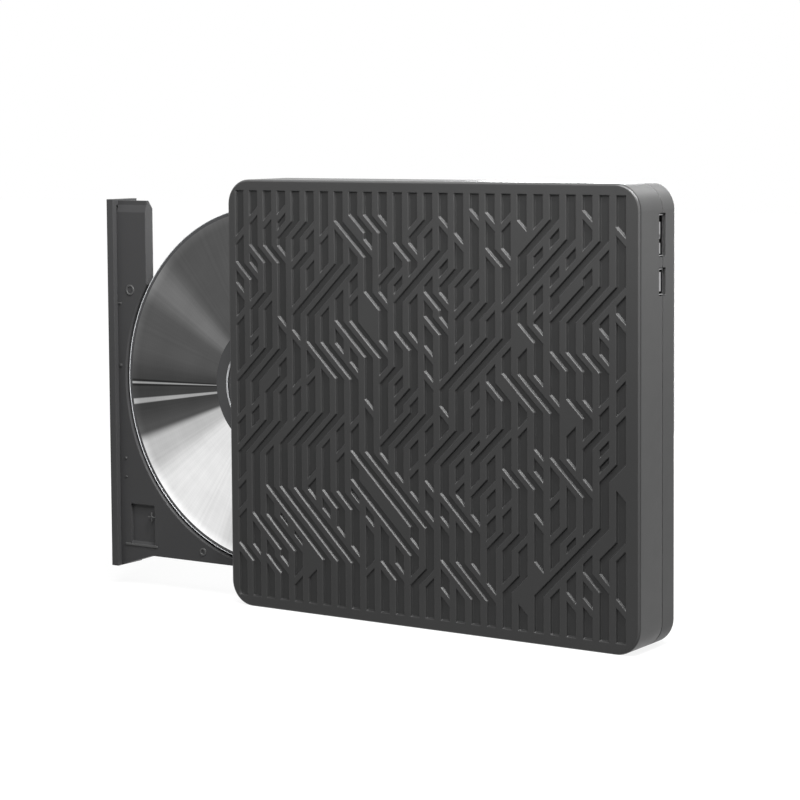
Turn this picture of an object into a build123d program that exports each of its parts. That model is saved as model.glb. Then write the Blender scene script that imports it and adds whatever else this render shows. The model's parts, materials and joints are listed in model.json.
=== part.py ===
"""External DVD drive, standing on its long narrow edge with the tray part way out.

Frame: X runs along the big face, and the tray opens towards -X. Y runs through the thickness,
with the patterned face at the low end. Z is up, and the case stands on Z = 0. Sizes are in
millimetres. Everything that rides on the tray is drawn with the tray shut and then moved out.
"""

import math
import os
import random

from build123d import *

# The disc, which every other length follows
DISC_RADIUS = 60.0
DISC_BORE_RADIUS = 7.5
DISC_THICKNESS = 1.2
DISC_TOP_Y = -6.1

# Slim drive inside the case
DRIVE_FRONT_GAP = 3.2
DRIVE_LENGTH = 2 * DISC_RADIUS + 6.0
DRIVE_LOW_Z = 7.0
DRIVE_WIDTH = 2 * DISC_RADIUS + 8.2
DRIVE_THICKNESS = 12.8
LID_GAP = 0.4
SHEET = 0.5
SHELF_WIDTH = 12.7
SHELF_Y = -2.5

# Case
BOARD_SPACE = 24.8
CASE_TOP_GAP = 6.8
FOAM_THICKNESS = 5.6
WALL = 2.0
FACE_WALL = 2.2
CASE_WIDTH = DRIVE_FRONT_GAP + DRIVE_LENGTH + BOARD_SPACE
CASE_HEIGHT = DRIVE_LOW_Z + DRIVE_WIDTH + CASE_TOP_GAP
CASE_DEPTH = FACE_WALL + LID_GAP + DRIVE_THICKNESS + FOAM_THICKNESS + WALL
CORNER_RADIUS = 8.2
FACE_EDGE_RADIUS = 0.8
BACK_EDGE_RADIUS = 1.2
SEAM_Y = 3.0
SEAM_BEVEL = 0.22
LIP_HEIGHT = 1.5
LIP_CLEARANCE = 0.1

# Relief on the big face: grooves side by side that bend at 45 degrees
GROOVE_PITCH = 5.71
GROOVE_WIDTH = 3.5
DIAGONAL_WIDTH = 2.4
GROOVE_DEPTH = 0.7
GROOVE_DRAFT = 0.42
COLUMNS = 26
RELIEF_BORDER_RIGHT = 3.5
RELIEF_BORDER_END = 3.5
RELIEF_SEED = 23
RELIEF_SHIFTS = 2600
RELIEF_BREAKS = 1500
RELIEF_SPACING = 7.4
SHORTEST_GROOVE_EDGE = 0.45

# Blank bed for a label on the back
LABEL_BED_WIDTH = 62.0
LABEL_BED_HEIGHT = 44.0
LABEL_BED_DEPTH = 0.3
LABEL_BED_CORNER = 3.0

# Feet, and the screws under them
FOOT_RADIUS = 5.0
FOOT_HEIGHT = 1.7
FOOT_EDGE = 0.3
FOOT_POCKET = 1.2
FOOT_INSET_X = 16.0
FOOT_INSET_Z = 13.5
FIT = 0.1
SCREW_RADIUS = 0.95
SCREW_HEAD_RADIUS = 2.1
SCREW_HEAD_HEIGHT = 1.4
SCREW_REACH = 5.5
CASE_SCREW_REACH = 10.2
BOSS_RADIUS = 3.4
BOSS_JOINT_Y = 3.6

# The disc's bright layer and the hub that holds it
MIRROR_INNER_RADIUS = 21.8
MIRROR_BORDER = 1.3
MIRROR_THICKNESS = 0.1
STACK_RING_RADIUS = 17.0
STACK_RING_WIDTH = 0.6
STACK_RING_HEIGHT = 0.15
HUB_RADIUS = 7.3
HUB_TOP_Y = -8.0
TABLE_RADIUS = 15.0
PAD_WIDTH = 3.0
PAD_THICKNESS = 0.3
TABLE_THICKNESS = 1.4
JAW_REACH = 7.65
JAW_LENGTH = 2.8
JAW_WIDTH = 2.0
JAW_HEIGHT = 1.0
JAW_Y = -6.8
JAW_PLAY = 0.06
ROTOR_RADIUS = 11.3
ROTOR_WALL = 0.8
ROTOR_HEIGHT = 4.1
SHAFT_RADIUS = 1.5
STATOR_RADIUS = 9.5
MOTOR_BASE_RADIUS = 13.5
MOTOR_BASE_THICKNESS = 0.8
MOTOR_BASE_Y = 1.2

# Tray
TRAY_OUT = 55.0
TRAY_TRAVEL = 2 * DISC_RADIUS + 8.0
BEZEL_THICKNESS = 3.0
BEZEL_PLATE = 1.8
BEZEL_RIM = 2.0
BEZEL_EDGE_RADIUS = 0.5
BEZEL_GAP = 0.4
DISC_FROM_BEZEL = DISC_RADIUS + 7.0
DISC_Z = DRIVE_LOW_Z + DISC_RADIUS + 6.0
DECK_Y = -6.9
FLOOR_TOP_Y = -4.3
FLOOR_THICKNESS = 1.2
TRAY_LENGTH = DRIVE_LENGTH - 2.0
TRAY_LOW_Z = DRIVE_LOW_Z + 4.7
TRAY_HIGH_Z = DRIVE_LOW_Z + DRIVE_WIDTH - SHELF_WIDTH - 3.9
TRAY_WALL = 2.4
TRAY_BOTTOM_Y = 2.6
TRAY_CORNER = 6.0
RECESS_PLAY = 0.7
RECESS_BEVEL = 0.4
OVERHANG = 3.5
STRIP_WIDTH = 12.7
STRIP_TOP_Z = DRIVE_LOW_Z + DRIVE_WIDTH - 1.0
STRIP_BOTTOM_Y = -2.9
STRIP_FOOT_Z = DISC_Z + 22.0
STRIP_BEVEL = 4.0
POCKET_SIZE = 10.5
POCKET_HEIGHT = 14.6
POCKET_SLOPE = 1.6
POCKET_DEPTH = 1.0
TAPER_START = 0.8
TAPER_LENGTH = 12.8
TRAY_FOOT_LIFT = 0.4
TRAY_COVER_SHEET = 0.3
TRAY_COVER_HIGH_Z = DISC_Z + 31.0
TRAY_SCREW_PLAY = 0.05

# Rails that run half as far as the tray
RAIL_REAR_GAP = 3.2
RAIL_LENGTH = TRAY_LENGTH - RAIL_REAR_GAP - 26.0
RAIL_LOW_Y = -0.6
RAIL_THICKNESS = 2.6
RAIL_GROOVE_DEPTH = 1.2
RAIL_PLAY = 0.2
GUIDE_WIDTH = 2.1
GUIDE_SKIRT = 0.7
GUIDE_LENGTH = DRIVE_LENGTH - 5.0
GUIDE_FRONT_GAP = 2.6

# Traverse: the frame under the disc that carries the motor and the pickup
CHASSIS_Y = -1.9
CHASSIS_THICKNESS = 1.0
CHASSIS_FRONT = DISC_RADIUS + 1.0
CHASSIS_REAR = 23.0
CHASSIS_LOW = 28.5
CHASSIS_HIGH = 20.0
CHASSIS_RIM = 1.5
CHASSIS_RIM_LOW_Y = -2.7
CHASSIS_RIM_HIGH_Y = 1.9
SLOT_INNER = 12.5
TRAVERSE_COVER_Y = -4.0
TRAVERSE_COVER_SHEET = 0.4
ROD_RADIUS = 1.0
ROD_Y = -0.3
ROD_OFFSET = 15.0
SCREW_OFFSET = 22.5
LENS_START = 23.5
LENS_TRAVEL = DISC_RADIUS - 28.0
SLED_OUTWARD = 3.5
SLED_INWARD = 9.3
LENS_RADIUS = 2.4
LEAD_SCREW_REACH = DISC_RADIUS - 0.2
SLED_MOTOR_RADIUS = 2.5
SLED_MOTOR_LENGTH = 14.0

# Boards and connectors
BOARD_THICKNESS = 1.2
PORT_Y = 2.75
USB_PORT_Z = CASE_HEIGHT - 15.8
USB_PORT_LENGTH = 12.6
USB_SLOT_LENGTH = 13.2
POWER_PORT_Z = USB_PORT_Z - 14.05
POWER_PORT_LENGTH = 7.9
POWER_SLOT_LENGTH = 8.5
PORT_SLOT_WIDTH = 4.2
PORT_THICKNESS = 3.3
PORT_RECESS = 0.6
PORT_DEPTH = 6.0
PORT_SHEET = 0.3
SATA_LOW_Z = CASE_HEIGHT - 56.0
SATA_WIDTH = 33.0

# Eject button, its switch and the latch
BUTTON_Z = 33.0
BUTTON_Y = -0.5
BUTTON_LENGTH = 8.0
BUTTON_WIDTH = 2.8
BUTTON_PLAY = 0.15
BUTTON_PROUD = 0.3
LATCH_POST_X = -CASE_WIDTH / 2 + DISC_FROM_BEZEL - 12.0
LATCH_POST_Z = TRAY_HIGH_Z - 8.6
LATCH_POST_RADIUS = 1.3
LATCH_ARM = 9.0
LATCH_DROP = 4.4
LATCH_RELEASE = 9.0

# Places worked out from the sizes above
LEFT = -CASE_WIDTH / 2
RIGHT = CASE_WIDTH / 2
FRONT_Y = -CASE_DEPTH / 2
BACK_Y = CASE_DEPTH / 2
INNER_FRONT_Y = FRONT_Y + FACE_WALL
INNER_BACK_Y = BACK_Y - WALL
DRIVE_FRONT = LEFT + DRIVE_FRONT_GAP
DRIVE_REAR = DRIVE_FRONT + DRIVE_LENGTH
DRIVE_HIGH_Z = DRIVE_LOW_Z + DRIVE_WIDTH
LID_Y = INNER_FRONT_Y + LID_GAP
PAN_BACK_Y = LID_Y + DRIVE_THICKNESS
PAN_FLOOR_Y = PAN_BACK_Y - SHEET
SHELF_Z = DRIVE_HIGH_Z - SHELF_WIDTH
DISC_X = LEFT + DISC_FROM_BEZEL
DISC_BOTTOM_Y = DISC_TOP_Y + DISC_THICKNESS
TRAY_FRONT = LEFT + BEZEL_THICKNESS
TRAY_REAR = TRAY_FRONT + TRAY_LENGTH
FLOOR_BOTTOM_Y = FLOOR_TOP_Y + FLOOR_THICKNESS
BEZEL_LOW_Z = DRIVE_LOW_Z + 0.2
BEZEL_HIGH_Z = DRIVE_HIGH_Z - 0.6
CHASSIS_LEFT = DISC_X - CHASSIS_FRONT
CHASSIS_RIGHT = DISC_X + CHASSIS_REAR
CHASSIS_BOTTOM_Y = CHASSIS_Y + CHASSIS_THICKNESS
SCREW_Z = DISC_Z - SCREW_OFFSET
BRIDGE_BOARD_Y = PORT_Y + PORT_THICKNESS / 2
PORT_FACE_X = RIGHT - PORT_RECESS
SATA_HIGH_Z = SATA_LOW_Z + SATA_WIDTH
CONNECTOR_FRONT = DRIVE_REAR - 14.2
CONNECTOR_BOARD_Y = PAN_FLOOR_Y - 1.3
CABLE_Y = PAN_FLOOR_Y - 0.3
CABLE_THICKNESS = 0.15
CABLE_LOW_Z = DRIVE_LOW_Z + 13.0
CABLE_WIDTH = 14.0
TRAY_BOARD_Y = 0.6
TRAY_BOARD_THICKNESS = 0.8
TRAY_BOARD_REAR = DISC_X + 24.0
TRAY_BOARD_LOW_Z = TRAY_LOW_Z + 7.7
TRAY_BOARD_WIDTH = 16.6
LED_Z = BUTTON_Z + 11.0
LED_LENGTH = 3.0
LED_WIDTH = 1.2
PINHOLE_Z = BUTTON_Z + 25.0
PINHOLE_RADIUS = 0.6
RECESS_RADIUS = DISC_RADIUS + RECESS_PLAY
OVERHANG_RADIUS = DISC_RADIUS - OVERHANG
MIRROR_OUTER_RADIUS = DISC_RADIUS - MIRROR_BORDER
LATCH_X = LATCH_POST_X - LATCH_ARM
LATCH_Z = LATCH_POST_Z - LATCH_DROP
FEET = [(LEFT + FOOT_INSET_X, FOOT_INSET_Z), (LEFT + FOOT_INSET_X, CASE_HEIGHT - FOOT_INSET_Z)]
FEET += [(RIGHT - FOOT_INSET_X, FOOT_INSET_Z), (RIGHT - FOOT_INSET_X, CASE_HEIGHT - FOOT_INSET_Z)]
FOOT_FLOOR_Y = BACK_Y - FOOT_POCKET
DAMPERS = [(CHASSIS_LEFT + 7.0, DISC_Z - 32.5)]
DAMPERS += [(DISC_X + 14.0, DISC_Z - 32.5), (DISC_X + 14.0, DISC_Z + 28.0)]
TRAY_SCREWS = [(TRAY_FRONT + 8.0, TRAY_LOW_Z + 5.1), (TRAY_REAR - 8.0, TRAY_LOW_Z + 5.1)]
TRAY_SCREWS += [(DISC_X - 30.0, DISC_Z + 28.0), (DISC_X + 42.0, DISC_Z + 7.0)]
BOARD_SCREWS = [(DRIVE_REAR + 12.8, SATA_LOW_Z + 2.5), (DRIVE_REAR + 14.2, USB_PORT_Z + 7.2)]
LID_SCREWS = [(DISC_X + 2.0, DRIVE_LOW_Z + 2.4), (DRIVE_REAR - 3.2, DRIVE_LOW_Z + 2.4)]
LID_SCREWS += [(DRIVE_REAR - 3.2, DRIVE_HIGH_Z - 2.4)]
FOAM_PADS = [(DISC_X - 10.0, DISC_Z - 33.0), (DISC_X - 10.0, DISC_Z + 25.0), (DISC_X + 45.0, DISC_Z - 11.0)]
FOAM_SIZE = 12.0


def block(x0, x1, y0, y1, z0, z1):
    """A box between three pairs of planes."""
    return Pos(x0, y0, z0) * Box(x1 - x0, y1 - y0, z1 - z0, align=(Align.MIN, Align.MIN, Align.MIN))


def slab(face, y0, y1):
    """A flat outline drawn in X and Z, given thickness from y0 to y1."""
    plane = Plane(origin=(0, y1, 0), x_dir=(1, 0, 0), z_dir=(0, -1, 0))
    return extrude(plane * face, amount=y1 - y0)


def rounded(x0, x1, z0, z1, radius):
    """A rectangle with round corners, in X and Z."""
    return Pos((x0 + x1) / 2, (z0 + z1) / 2) * RectangleRounded(x1 - x0, z1 - z0, radius)


def post(x, z, radius, y0, y1):
    """A round post along Y."""
    return Pos(x, (y0 + y1) / 2, z) * Rot(90, 0, 0) * Cylinder(radius, y1 - y0)


def rod(y, z, radius, x0, x1):
    """A round rod along X."""
    return Pos((x0 + x1) / 2, y, z) * Rot(0, 90, 0) * Cylinder(radius, x1 - x0)


def ring(x, z, outer, inner, y0, y1):
    """A flat ring about Y."""
    return post(x, z, outer, y0, y1) - post(x, z, inner, y0 - 1, y1 + 1)


def group(solids):
    """Several separate solids kept together as one sub-part."""
    return Compound(children=[solid for piece in solids for solid in piece.solids()])


def shift_out(shape, distance=TRAY_OUT):
    """The shape moved from the shut place to the open one."""
    return Pos(-distance, 0, 0) * shape


# Relief


def inset_outline(points, distance):
    """The outline moved inwards by a distance, with its corners kept sharp."""
    moved = []
    count = len(points)
    for i in range(count):
        before, here, after = points[i - 1], points[i], points[(i + 1) % count]
        first = (here[0] - before[0], here[1] - before[1])
        second = (after[0] - here[0], after[1] - here[1])
        first_length = math.hypot(*first)
        second_length = math.hypot(*second)
        first_normal = (-first[1] / first_length, first[0] / first_length)
        second_normal = (-second[1] / second_length, second[0] / second_length)
        spread = 1 + first_normal[0] * second_normal[0] + first_normal[1] * second_normal[1]
        moved.append(
            (
                here[0] + distance * (first_normal[0] + second_normal[0]) / spread,
                here[1] + distance * (first_normal[1] + second_normal[1]) / spread,
            )
        )
    return moved


def drafted_pocket(points):
    """A groove's shape: the outline at the face, narrowing down to the groove's floor."""
    floor = inset_outline(points, GROOVE_DRAFT)
    above = inset_outline(points, -GROOVE_DRAFT)
    top = [Vector(x, FRONT_Y - GROOVE_DEPTH, z) for x, z in above]
    bottom = [Vector(x, FRONT_Y + GROOVE_DEPTH, z) for x, z in floor]
    faces = [Face(Wire.make_polygon(top, close=True)), Face(Wire.make_polygon(bottom, close=True))]
    for i in range(len(points)):
        j = (i + 1) % len(points)
        faces.append(Face(Wire.make_polygon([top[i], top[j], bottom[j], bottom[i]], close=True)))
    return Solid(Shell(faces))


def column_x(column):
    """Centre of a groove column."""
    return RIGHT - RELIEF_BORDER_RIGHT - GROOVE_PITCH * (COLUMNS - column - 0.5)


def crossing_spans(first, grooves, shift, way, z0):
    """Which heights a group of sloping grooves takes up in each column that it meets."""
    spans = {}
    for c in range(first, first + grooves + shift):
        place = c - first if way > 0 else first + grooves + shift - 1 - c
        low = z0 + max(0, place - grooves + 1) * GROOVE_PITCH
        high = z0 + min(shift, place) * GROOVE_PITCH
        spans[c] = (low, high)
    return spans


def relief_events(source):
    """Places where grooves shift sideways or are broken by a sloping rib, none overlapping."""
    low = RELIEF_BORDER_END + RELIEF_SPACING
    high = CASE_HEIGHT - RELIEF_BORDER_END - RELIEF_SPACING
    taken = [[] for _ in range(COLUMNS)]
    events = []

    def place(event, spans):
        for c, (z0, z1) in spans.items():
            if z0 < low or z1 > high:
                return
            if any(z1 + RELIEF_SPACING > a and z0 - RELIEF_SPACING < b for a, b in taken[c]):
                return
        events.append(event)
        for c, span in spans.items():
            taken[c].append(span)

    for _ in range(RELIEF_SHIFTS):
        grooves = source.choice([1, 1, 2, 2, 3])
        shift = source.choice([1, 1, 2, 2, 3, 4])
        way = source.choice([-1, 1])
        first = source.randrange(0, COLUMNS - grooves - shift + 1)
        z0 = source.uniform(low, high)
        start = first if way > 0 else first + shift
        place(("shift", start, grooves, shift, way, z0), crossing_spans(first, grooves, shift, way, z0))
    for _ in range(RELIEF_BREAKS):
        grooves = source.choice([1, 1, 1, 2, 3])
        way = source.choice([-1, 1])
        first = source.randrange(0, COLUMNS - grooves + 1)
        z0 = source.uniform(low, high)
        corner = first if way > 0 else first + grooves - 1
        heights = {c: z0 + abs(c - corner) * GROOVE_PITCH for c in range(first, first + grooves)}
        place(("break", first, grooves, 0, way, z0), {c: (z, z) for c, z in heights.items()})
    return events


def climbs(side):
    """Whether every upright edge on one side of a groove really runs upwards."""
    return all(b[1] - a[1] > SHORTEST_GROOVE_EDGE for a, b in zip(side, side[1:]) if a[0] == b[0])


def keeps_shape(points):
    """Whether a groove's outline still goes round the same way at the groove's floor."""
    floor = inset_outline(points, GROOVE_DRAFT)
    for i in range(len(points)):
        a, b = points[i - 1], points[i]
        c, d = floor[i - 1], floor[i]
        length = math.hypot(b[0] - a[0], b[1] - a[1])
        along = ((b[0] - a[0]) * (d[0] - c[0]) + (b[1] - a[1]) * (d[1] - c[1])) / max(length, 0.01)
        if along < SHORTEST_GROOVE_EDGE:
            return False
    return True


def relief_outlines():
    """Outlines of every groove, in X and Z, each one going round with its inside on the left."""
    low = RELIEF_BORDER_END
    high = CASE_HEIGHT - RELIEF_BORDER_END
    half = GROOVE_WIDTH / 2
    rise = DIAGONAL_WIDTH / 2 * math.sqrt(2)
    rib = GROOVE_PITCH - 2 * rise
    marks = [[] for _ in range(COLUMNS)]
    for kind, first, grooves, shift, way, z0 in relief_events(random.Random(RELIEF_SEED)):
        if kind == "break":
            corner = first if way > 0 else first + grooves - 1
            for c in range(first, first + grooves):
                middle = z0 + abs(c - corner) * GROOVE_PITCH
                marks[c].append((middle, "end", middle - rib / 2, way))
                marks[c].append((middle, "start", middle + rib / 2, way))
            continue
        for c in range(first, first + grooves):
            marks[c].append((z0, "bend", c + way * shift, way))
            marks[c + way * shift].append((z0 + shift * GROOVE_PITCH, "join", c, way))
        edge = first + grooves - 1 if way > 0 else first
        back = first if way > 0 else first + grooves - 1
        for step in range(1, shift + 1):
            below = edge + way * step
            level = z0 + step * GROOVE_PITCH
            marks[below].append((level - 0.01, "end", level - rise - rib, way))
        for step in range(shift):
            above = back + way * step
            level = z0 + step * GROOVE_PITCH
            marks[above].append((level + 0.01, "start", level + rise + rib, way))
    for column in marks:
        column.sort(key=lambda mark: mark[0])

    outlines = []
    for column in range(COLUMNS):
        starts = [(low, 0)] + [(m[2], m[3]) for m in marks[column] if m[1] == "start"]
        for z_start, slope in starts:
            x = column_x(column)
            left = [(x - half, z_start - slope * half)]
            right = [(x + half, z_start + slope * half)]
            here = column
            height = z_start
            while True:
                later = [m for m in marks[here] if m[0] > height and m[1] in ("end", "bend")]
                if not later:
                    left.append((column_x(here) - half, high))
                    right.append((column_x(here) + half, high))
                    break
                mark = later[0]
                x = column_x(here)
                if mark[1] == "end":
                    left.append((x - half, mark[2] - mark[3] * half))
                    right.append((x + half, mark[2] + mark[3] * half))
                    break
                z0, way = mark[0], mark[3]
                above = column_x(mark[2])
                z1 = z0 + abs(mark[2] - here) * GROOVE_PITCH
                outer, inner = (left, right) if way > 0 else (right, left)
                outer.append((x - way * half, z0 - half + rise))
                outer.append((above - way * half, z1 - half + rise))
                inner.append((x + way * half, z0 + half - rise))
                inner.append((above + way * half, z1 + half - rise))
                here = mark[2]
                height = z1
            if climbs(left) and climbs(right) and keeps_shape(right + left[::-1]):
                outlines.append(right + left[::-1])
    return outlines


# Case


def case_block(margin, y0, y1):
    """The case's outline, drawn in by a margin, between two depths."""
    radius = CORNER_RADIUS - margin
    return slab(rounded(LEFT + margin, RIGHT - margin, margin, CASE_HEIGHT - margin, radius), y0, y1)


def case_shell():
    """Both halves of the case as one hollow block, with its outer edges rounded."""
    outer = case_block(0, FRONT_Y, BACK_Y)
    outer = fillet(outer.faces().sort_by(Axis.Y)[0].edges(), FACE_EDGE_RADIUS)
    outer = fillet(outer.faces().sort_by(Axis.Y)[-1].edges(), BACK_EDGE_RADIUS)
    return outer - case_block(WALL, INNER_FRONT_Y, INNER_BACK_Y)


def case_openings():
    """The tray's mouth on the left and the two port slots on the right."""
    low, high = BEZEL_LOW_Z - BEZEL_GAP, BEZEL_HIGH_Z + BEZEL_GAP
    mouth = block(LEFT - 1, LEFT + WALL + 1, INNER_FRONT_Y, PAN_BACK_Y + BEZEL_GAP, low, high)
    openings = [mouth]
    for z, length in ((USB_PORT_Z, USB_SLOT_LENGTH), (POWER_PORT_Z, POWER_SLOT_LENGTH)):
        y0, y1 = PORT_Y - PORT_SLOT_WIDTH / 2, PORT_Y + PORT_SLOT_WIDTH / 2
        slot = block(RIGHT - WALL - 1, RIGHT + 1, y0, y1, z - length / 2, z + length / 2)
        openings.append(fillet(slot.edges().filter_by(Axis.X), 0.5))
    return openings


def seam_bevel(side):
    """A shallow bevel round the outside of the case, on one side of the seam."""
    outer = case_block(-1, SEAM_Y - SEAM_BEVEL, SEAM_Y + SEAM_BEVEL)
    y0, y1 = (SEAM_Y - SEAM_BEVEL, SEAM_Y) if side < 0 else (SEAM_Y, SEAM_Y + SEAM_BEVEL)
    core = case_block(SEAM_BEVEL, SEAM_Y - SEAM_BEVEL, SEAM_Y + SEAM_BEVEL)
    return (outer - core) & block(LEFT - 2, RIGHT + 2, y0, y1, -2, CASE_HEIGHT + 2)


def top_cover():
    """The half of the case with the patterned face, and the bosses that the case screws bite."""
    cover = case_shell() & block(LEFT, RIGHT, FRONT_Y, SEAM_Y, 0, CASE_HEIGHT)
    cover -= case_block(WALL / 2, SEAM_Y - LIP_HEIGHT - LIP_CLEARANCE, SEAM_Y)
    cover -= seam_bevel(-1)
    for x, z in FEET[2:]:
        cover += post(x, z, BOSS_RADIUS - 0.2, INNER_FRONT_Y, BOSS_JOINT_Y)
        cover -= post(x, z, SCREW_RADIUS + 0.05, BOSS_JOINT_Y - CASE_SCREW_REACH, BOSS_JOINT_Y)
    for opening in case_openings():
        cover -= opening
    pockets = [drafted_pocket(outline) for outline in relief_outlines()]
    return cover - Compound(children=pockets)


def foot_boss(x, z):
    """Where a foot's boss ends and where its screw head rests: on the drive, or on the top cover."""
    if x > 0:
        return BOSS_JOINT_Y, FOOT_FLOOR_Y - SCREW_HEAD_HEIGHT - 0.2
    end = SHELF_Y + SHEET if z > SHELF_Z else PAN_BACK_Y
    return end, end - SHEET + 0.1 + SCREW_REACH - 0.2


def bottom_cover():
    """The half of the case with the feet, its lip, and the posts for the drive and the board."""
    cover = case_shell() & block(LEFT, RIGHT, SEAM_Y, BACK_Y, 0, CASE_HEIGHT)
    cover -= seam_bevel(1)
    margin = WALL / 2 + LIP_CLEARANCE
    cover += case_block(margin, SEAM_Y - LIP_HEIGHT, SEAM_Y + WALL) - case_block(
        WALL, SEAM_Y - LIP_HEIGHT - 1, SEAM_Y + WALL + 1
    )
    for x, z in FEET:
        end, seat = foot_boss(x, z)
        cover += post(x, z, BOSS_RADIUS, end, INNER_BACK_Y + 0.5)
        cover -= post(x, z, SCREW_RADIUS + FIT, end - 1, seat)
        cover -= post(x, z, SCREW_HEAD_RADIUS + 0.3, seat, FOOT_FLOOR_Y)
        cover -= post(x, z, FOOT_RADIUS + FIT, FOOT_FLOOR_Y, BACK_Y + 1)
    for x, z in BOARD_SCREWS:
        cover += post(x, z, 2.2, BRIDGE_BOARD_Y + BOARD_THICKNESS, INNER_BACK_Y + 0.5)
        cover -= post(x, z, 0.85, BRIDGE_BOARD_Y - 1, INNER_BACK_Y - 0.2)
    for opening in case_openings():
        cover -= opening
    half_width, half_height = LABEL_BED_WIDTH / 2, LABEL_BED_HEIGHT / 2
    middle = CASE_HEIGHT / 2
    bed = rounded(-half_width, half_width, middle - half_height, middle + half_height, LABEL_BED_CORNER)
    return cover - slab(bed, BACK_Y - LABEL_BED_DEPTH, BACK_Y + 1)


def rubber_feet():
    """Four round feet pressed into pockets on the back."""
    feet = []
    for x, z in FEET:
        foot = post(x, z, FOOT_RADIUS, FOOT_FLOOR_Y, FOOT_FLOOR_Y + FOOT_HEIGHT)
        feet.append(chamfer(foot.edges().sort_by(Axis.Y)[-1], FOOT_EDGE))
    return group(feet)


def screw(
    x, z, seat, tip, head_radius=SCREW_HEAD_RADIUS, head_height=SCREW_HEAD_HEIGHT, radius=SCREW_RADIUS, way=1
):
    """A screw along Y: its head rests at seat on the side that way gives, its tip is at tip."""
    low, high = sorted((seat, seat + way * head_height))
    head = post(x, z, head_radius, low, high)
    shank_low, shank_high = sorted((tip, seat))
    drive_low, drive_high = sorted((seat + way * head_height * 0.4, seat + way * (head_height + 0.1)))
    cross = block(x - head_radius * 0.6, x + head_radius * 0.6, drive_low, drive_high, z - 0.2, z + 0.2)
    cross += block(x - 0.2, x + 0.2, drive_low, drive_high, z - head_radius * 0.6, z + head_radius * 0.6)
    return head + post(x, z, radius, shank_low, shank_high) - cross


def case_screws():
    """Two long screws that close the case, under the feet on the port side."""
    pieces = []
    for x, z in FEET[2:]:
        end, seat = foot_boss(x, z)
        pieces.append(screw(x, z, seat, end - CASE_SCREW_REACH + 4.0))
    return group(pieces)


def drive_mount_screws():
    """Two screws that hold the drive's pan, under the feet on the tray side."""
    pieces = []
    for x, z in FEET[:2]:
        end, seat = foot_boss(x, z)
        pieces.append(screw(x, z, seat, end - SHEET + 0.1))
    return group(pieces)


def foam_pads():
    """Three foam blocks between the drive and the back of the case."""
    pads = [block(x, x + FOAM_SIZE, PAN_BACK_Y, INNER_BACK_Y, z, z + FOAM_SIZE) for x, z in FOAM_PADS]
    return group(pads)


# Bridge board and ports


def bridge_board():
    """The circuit board that joins the ports to the drive."""
    y0, y1 = BRIDGE_BOARD_Y, BRIDGE_BOARD_Y + BOARD_THICKNESS
    board = block(DRIVE_REAR + 2.8, RIGHT - WALL - 0.4, y0, y1, SATA_LOW_Z - 2, USB_PORT_Z + 9.8)
    x, z = FEET[3]
    board -= post(x, z, BOSS_RADIUS + 0.3, y0 - 1, y1 + 1)
    for x, z in BOARD_SCREWS:
        board -= post(x, z, 1.05, y0 - 1, y1 + 1)
    return board


def bridge_chips():
    """The bridge chip, its memory, crystal and power parts on the board."""
    x, z = DRIVE_REAR + 8.0, SATA_LOW_Z
    chips = [(x, z + 22.0, 7.0, 7.0, 0.9), (x + 0.8, z + 15.0, 4.0, 3.5, 0.8)]
    chips += [(x + 0.2, z + 31.2, 3.2, 5.0, 0.8), (x + 9.2, z + 4.0, 4.2, 4.2, 1.9)]
    chips.append((x + 9.8, z + 11.0, 2.8, 6.0, 1.2))
    chips += [(x + step * 1.8, z + 10.6, 0.8, 1.4, 0.5) for step in range(5)]
    return group([chip(*place, BRIDGE_BOARD_Y) for place in chips])


def chip(x, z, width, height, thickness, board_y):
    """A chip's package, seated on the face of a board."""
    return block(x, x + width, board_y - thickness, board_y, z, z + height)


def bridge_board_screws():
    """Two screws that hold the bridge board to its posts."""
    pieces = []
    for x, z in BOARD_SCREWS:
        pieces.append(screw(x, z, BRIDGE_BOARD_Y, BRIDGE_BOARD_Y + 4.0, 1.7, 0.9, 0.8, way=-1))
    return group(pieces)


def port_profile(length, notch):
    """Outline of a port's mouth in Y and Z, with cut corners on one side and an optional notch."""
    half_y, half_z = PORT_THICKNESS / 2, length / 2
    points = [(half_y, -half_z), (half_y, half_z), (-half_y + 0.7, half_z), (-half_y, half_z - 0.7)]
    if notch:
        points += [(-half_y, 0.9), (-half_y + 1.0, 0.7), (-half_y + 1.0, -0.7), (-half_y, -0.9)]
    points += [(-half_y, -half_z + 0.7), (-half_y + 0.7, -half_z)]
    return points


def port_prism(length, notch, z, x0, x1, inset=0.0):
    """A port's outline given length along X."""
    points = inset_outline(port_profile(length, notch), inset)
    face = make_face(Polyline(*[Vector(x0, PORT_Y + y, z + dz) for y, dz in points], close=True))
    return extrude(face, amount=x1 - x0, dir=(1, 0, 0))


def port_shell(length, notch, z):
    """A port's metal shell, open to the outside and closed at its back."""
    x0 = PORT_FACE_X - PORT_DEPTH
    return port_prism(length, notch, z, x0, PORT_FACE_X) - port_prism(
        length, notch, z, x0 + PORT_SHEET, PORT_FACE_X + 1, PORT_SHEET
    )


def port_tongue(z, z0, z1):
    """The moulded tongue with the contacts, inside a port."""
    low_y = PORT_Y - PORT_THICKNESS / 2 + PORT_SHEET + 0.35
    x0 = PORT_FACE_X - PORT_DEPTH + PORT_SHEET
    return block(x0, PORT_FACE_X - 0.7, low_y, low_y + 0.8, z + z0, z + z1)


def usb_port_shell():
    """The wide data port's shell, with a notch between its two parts."""
    return port_shell(USB_PORT_LENGTH, True, USB_PORT_Z)


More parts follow.
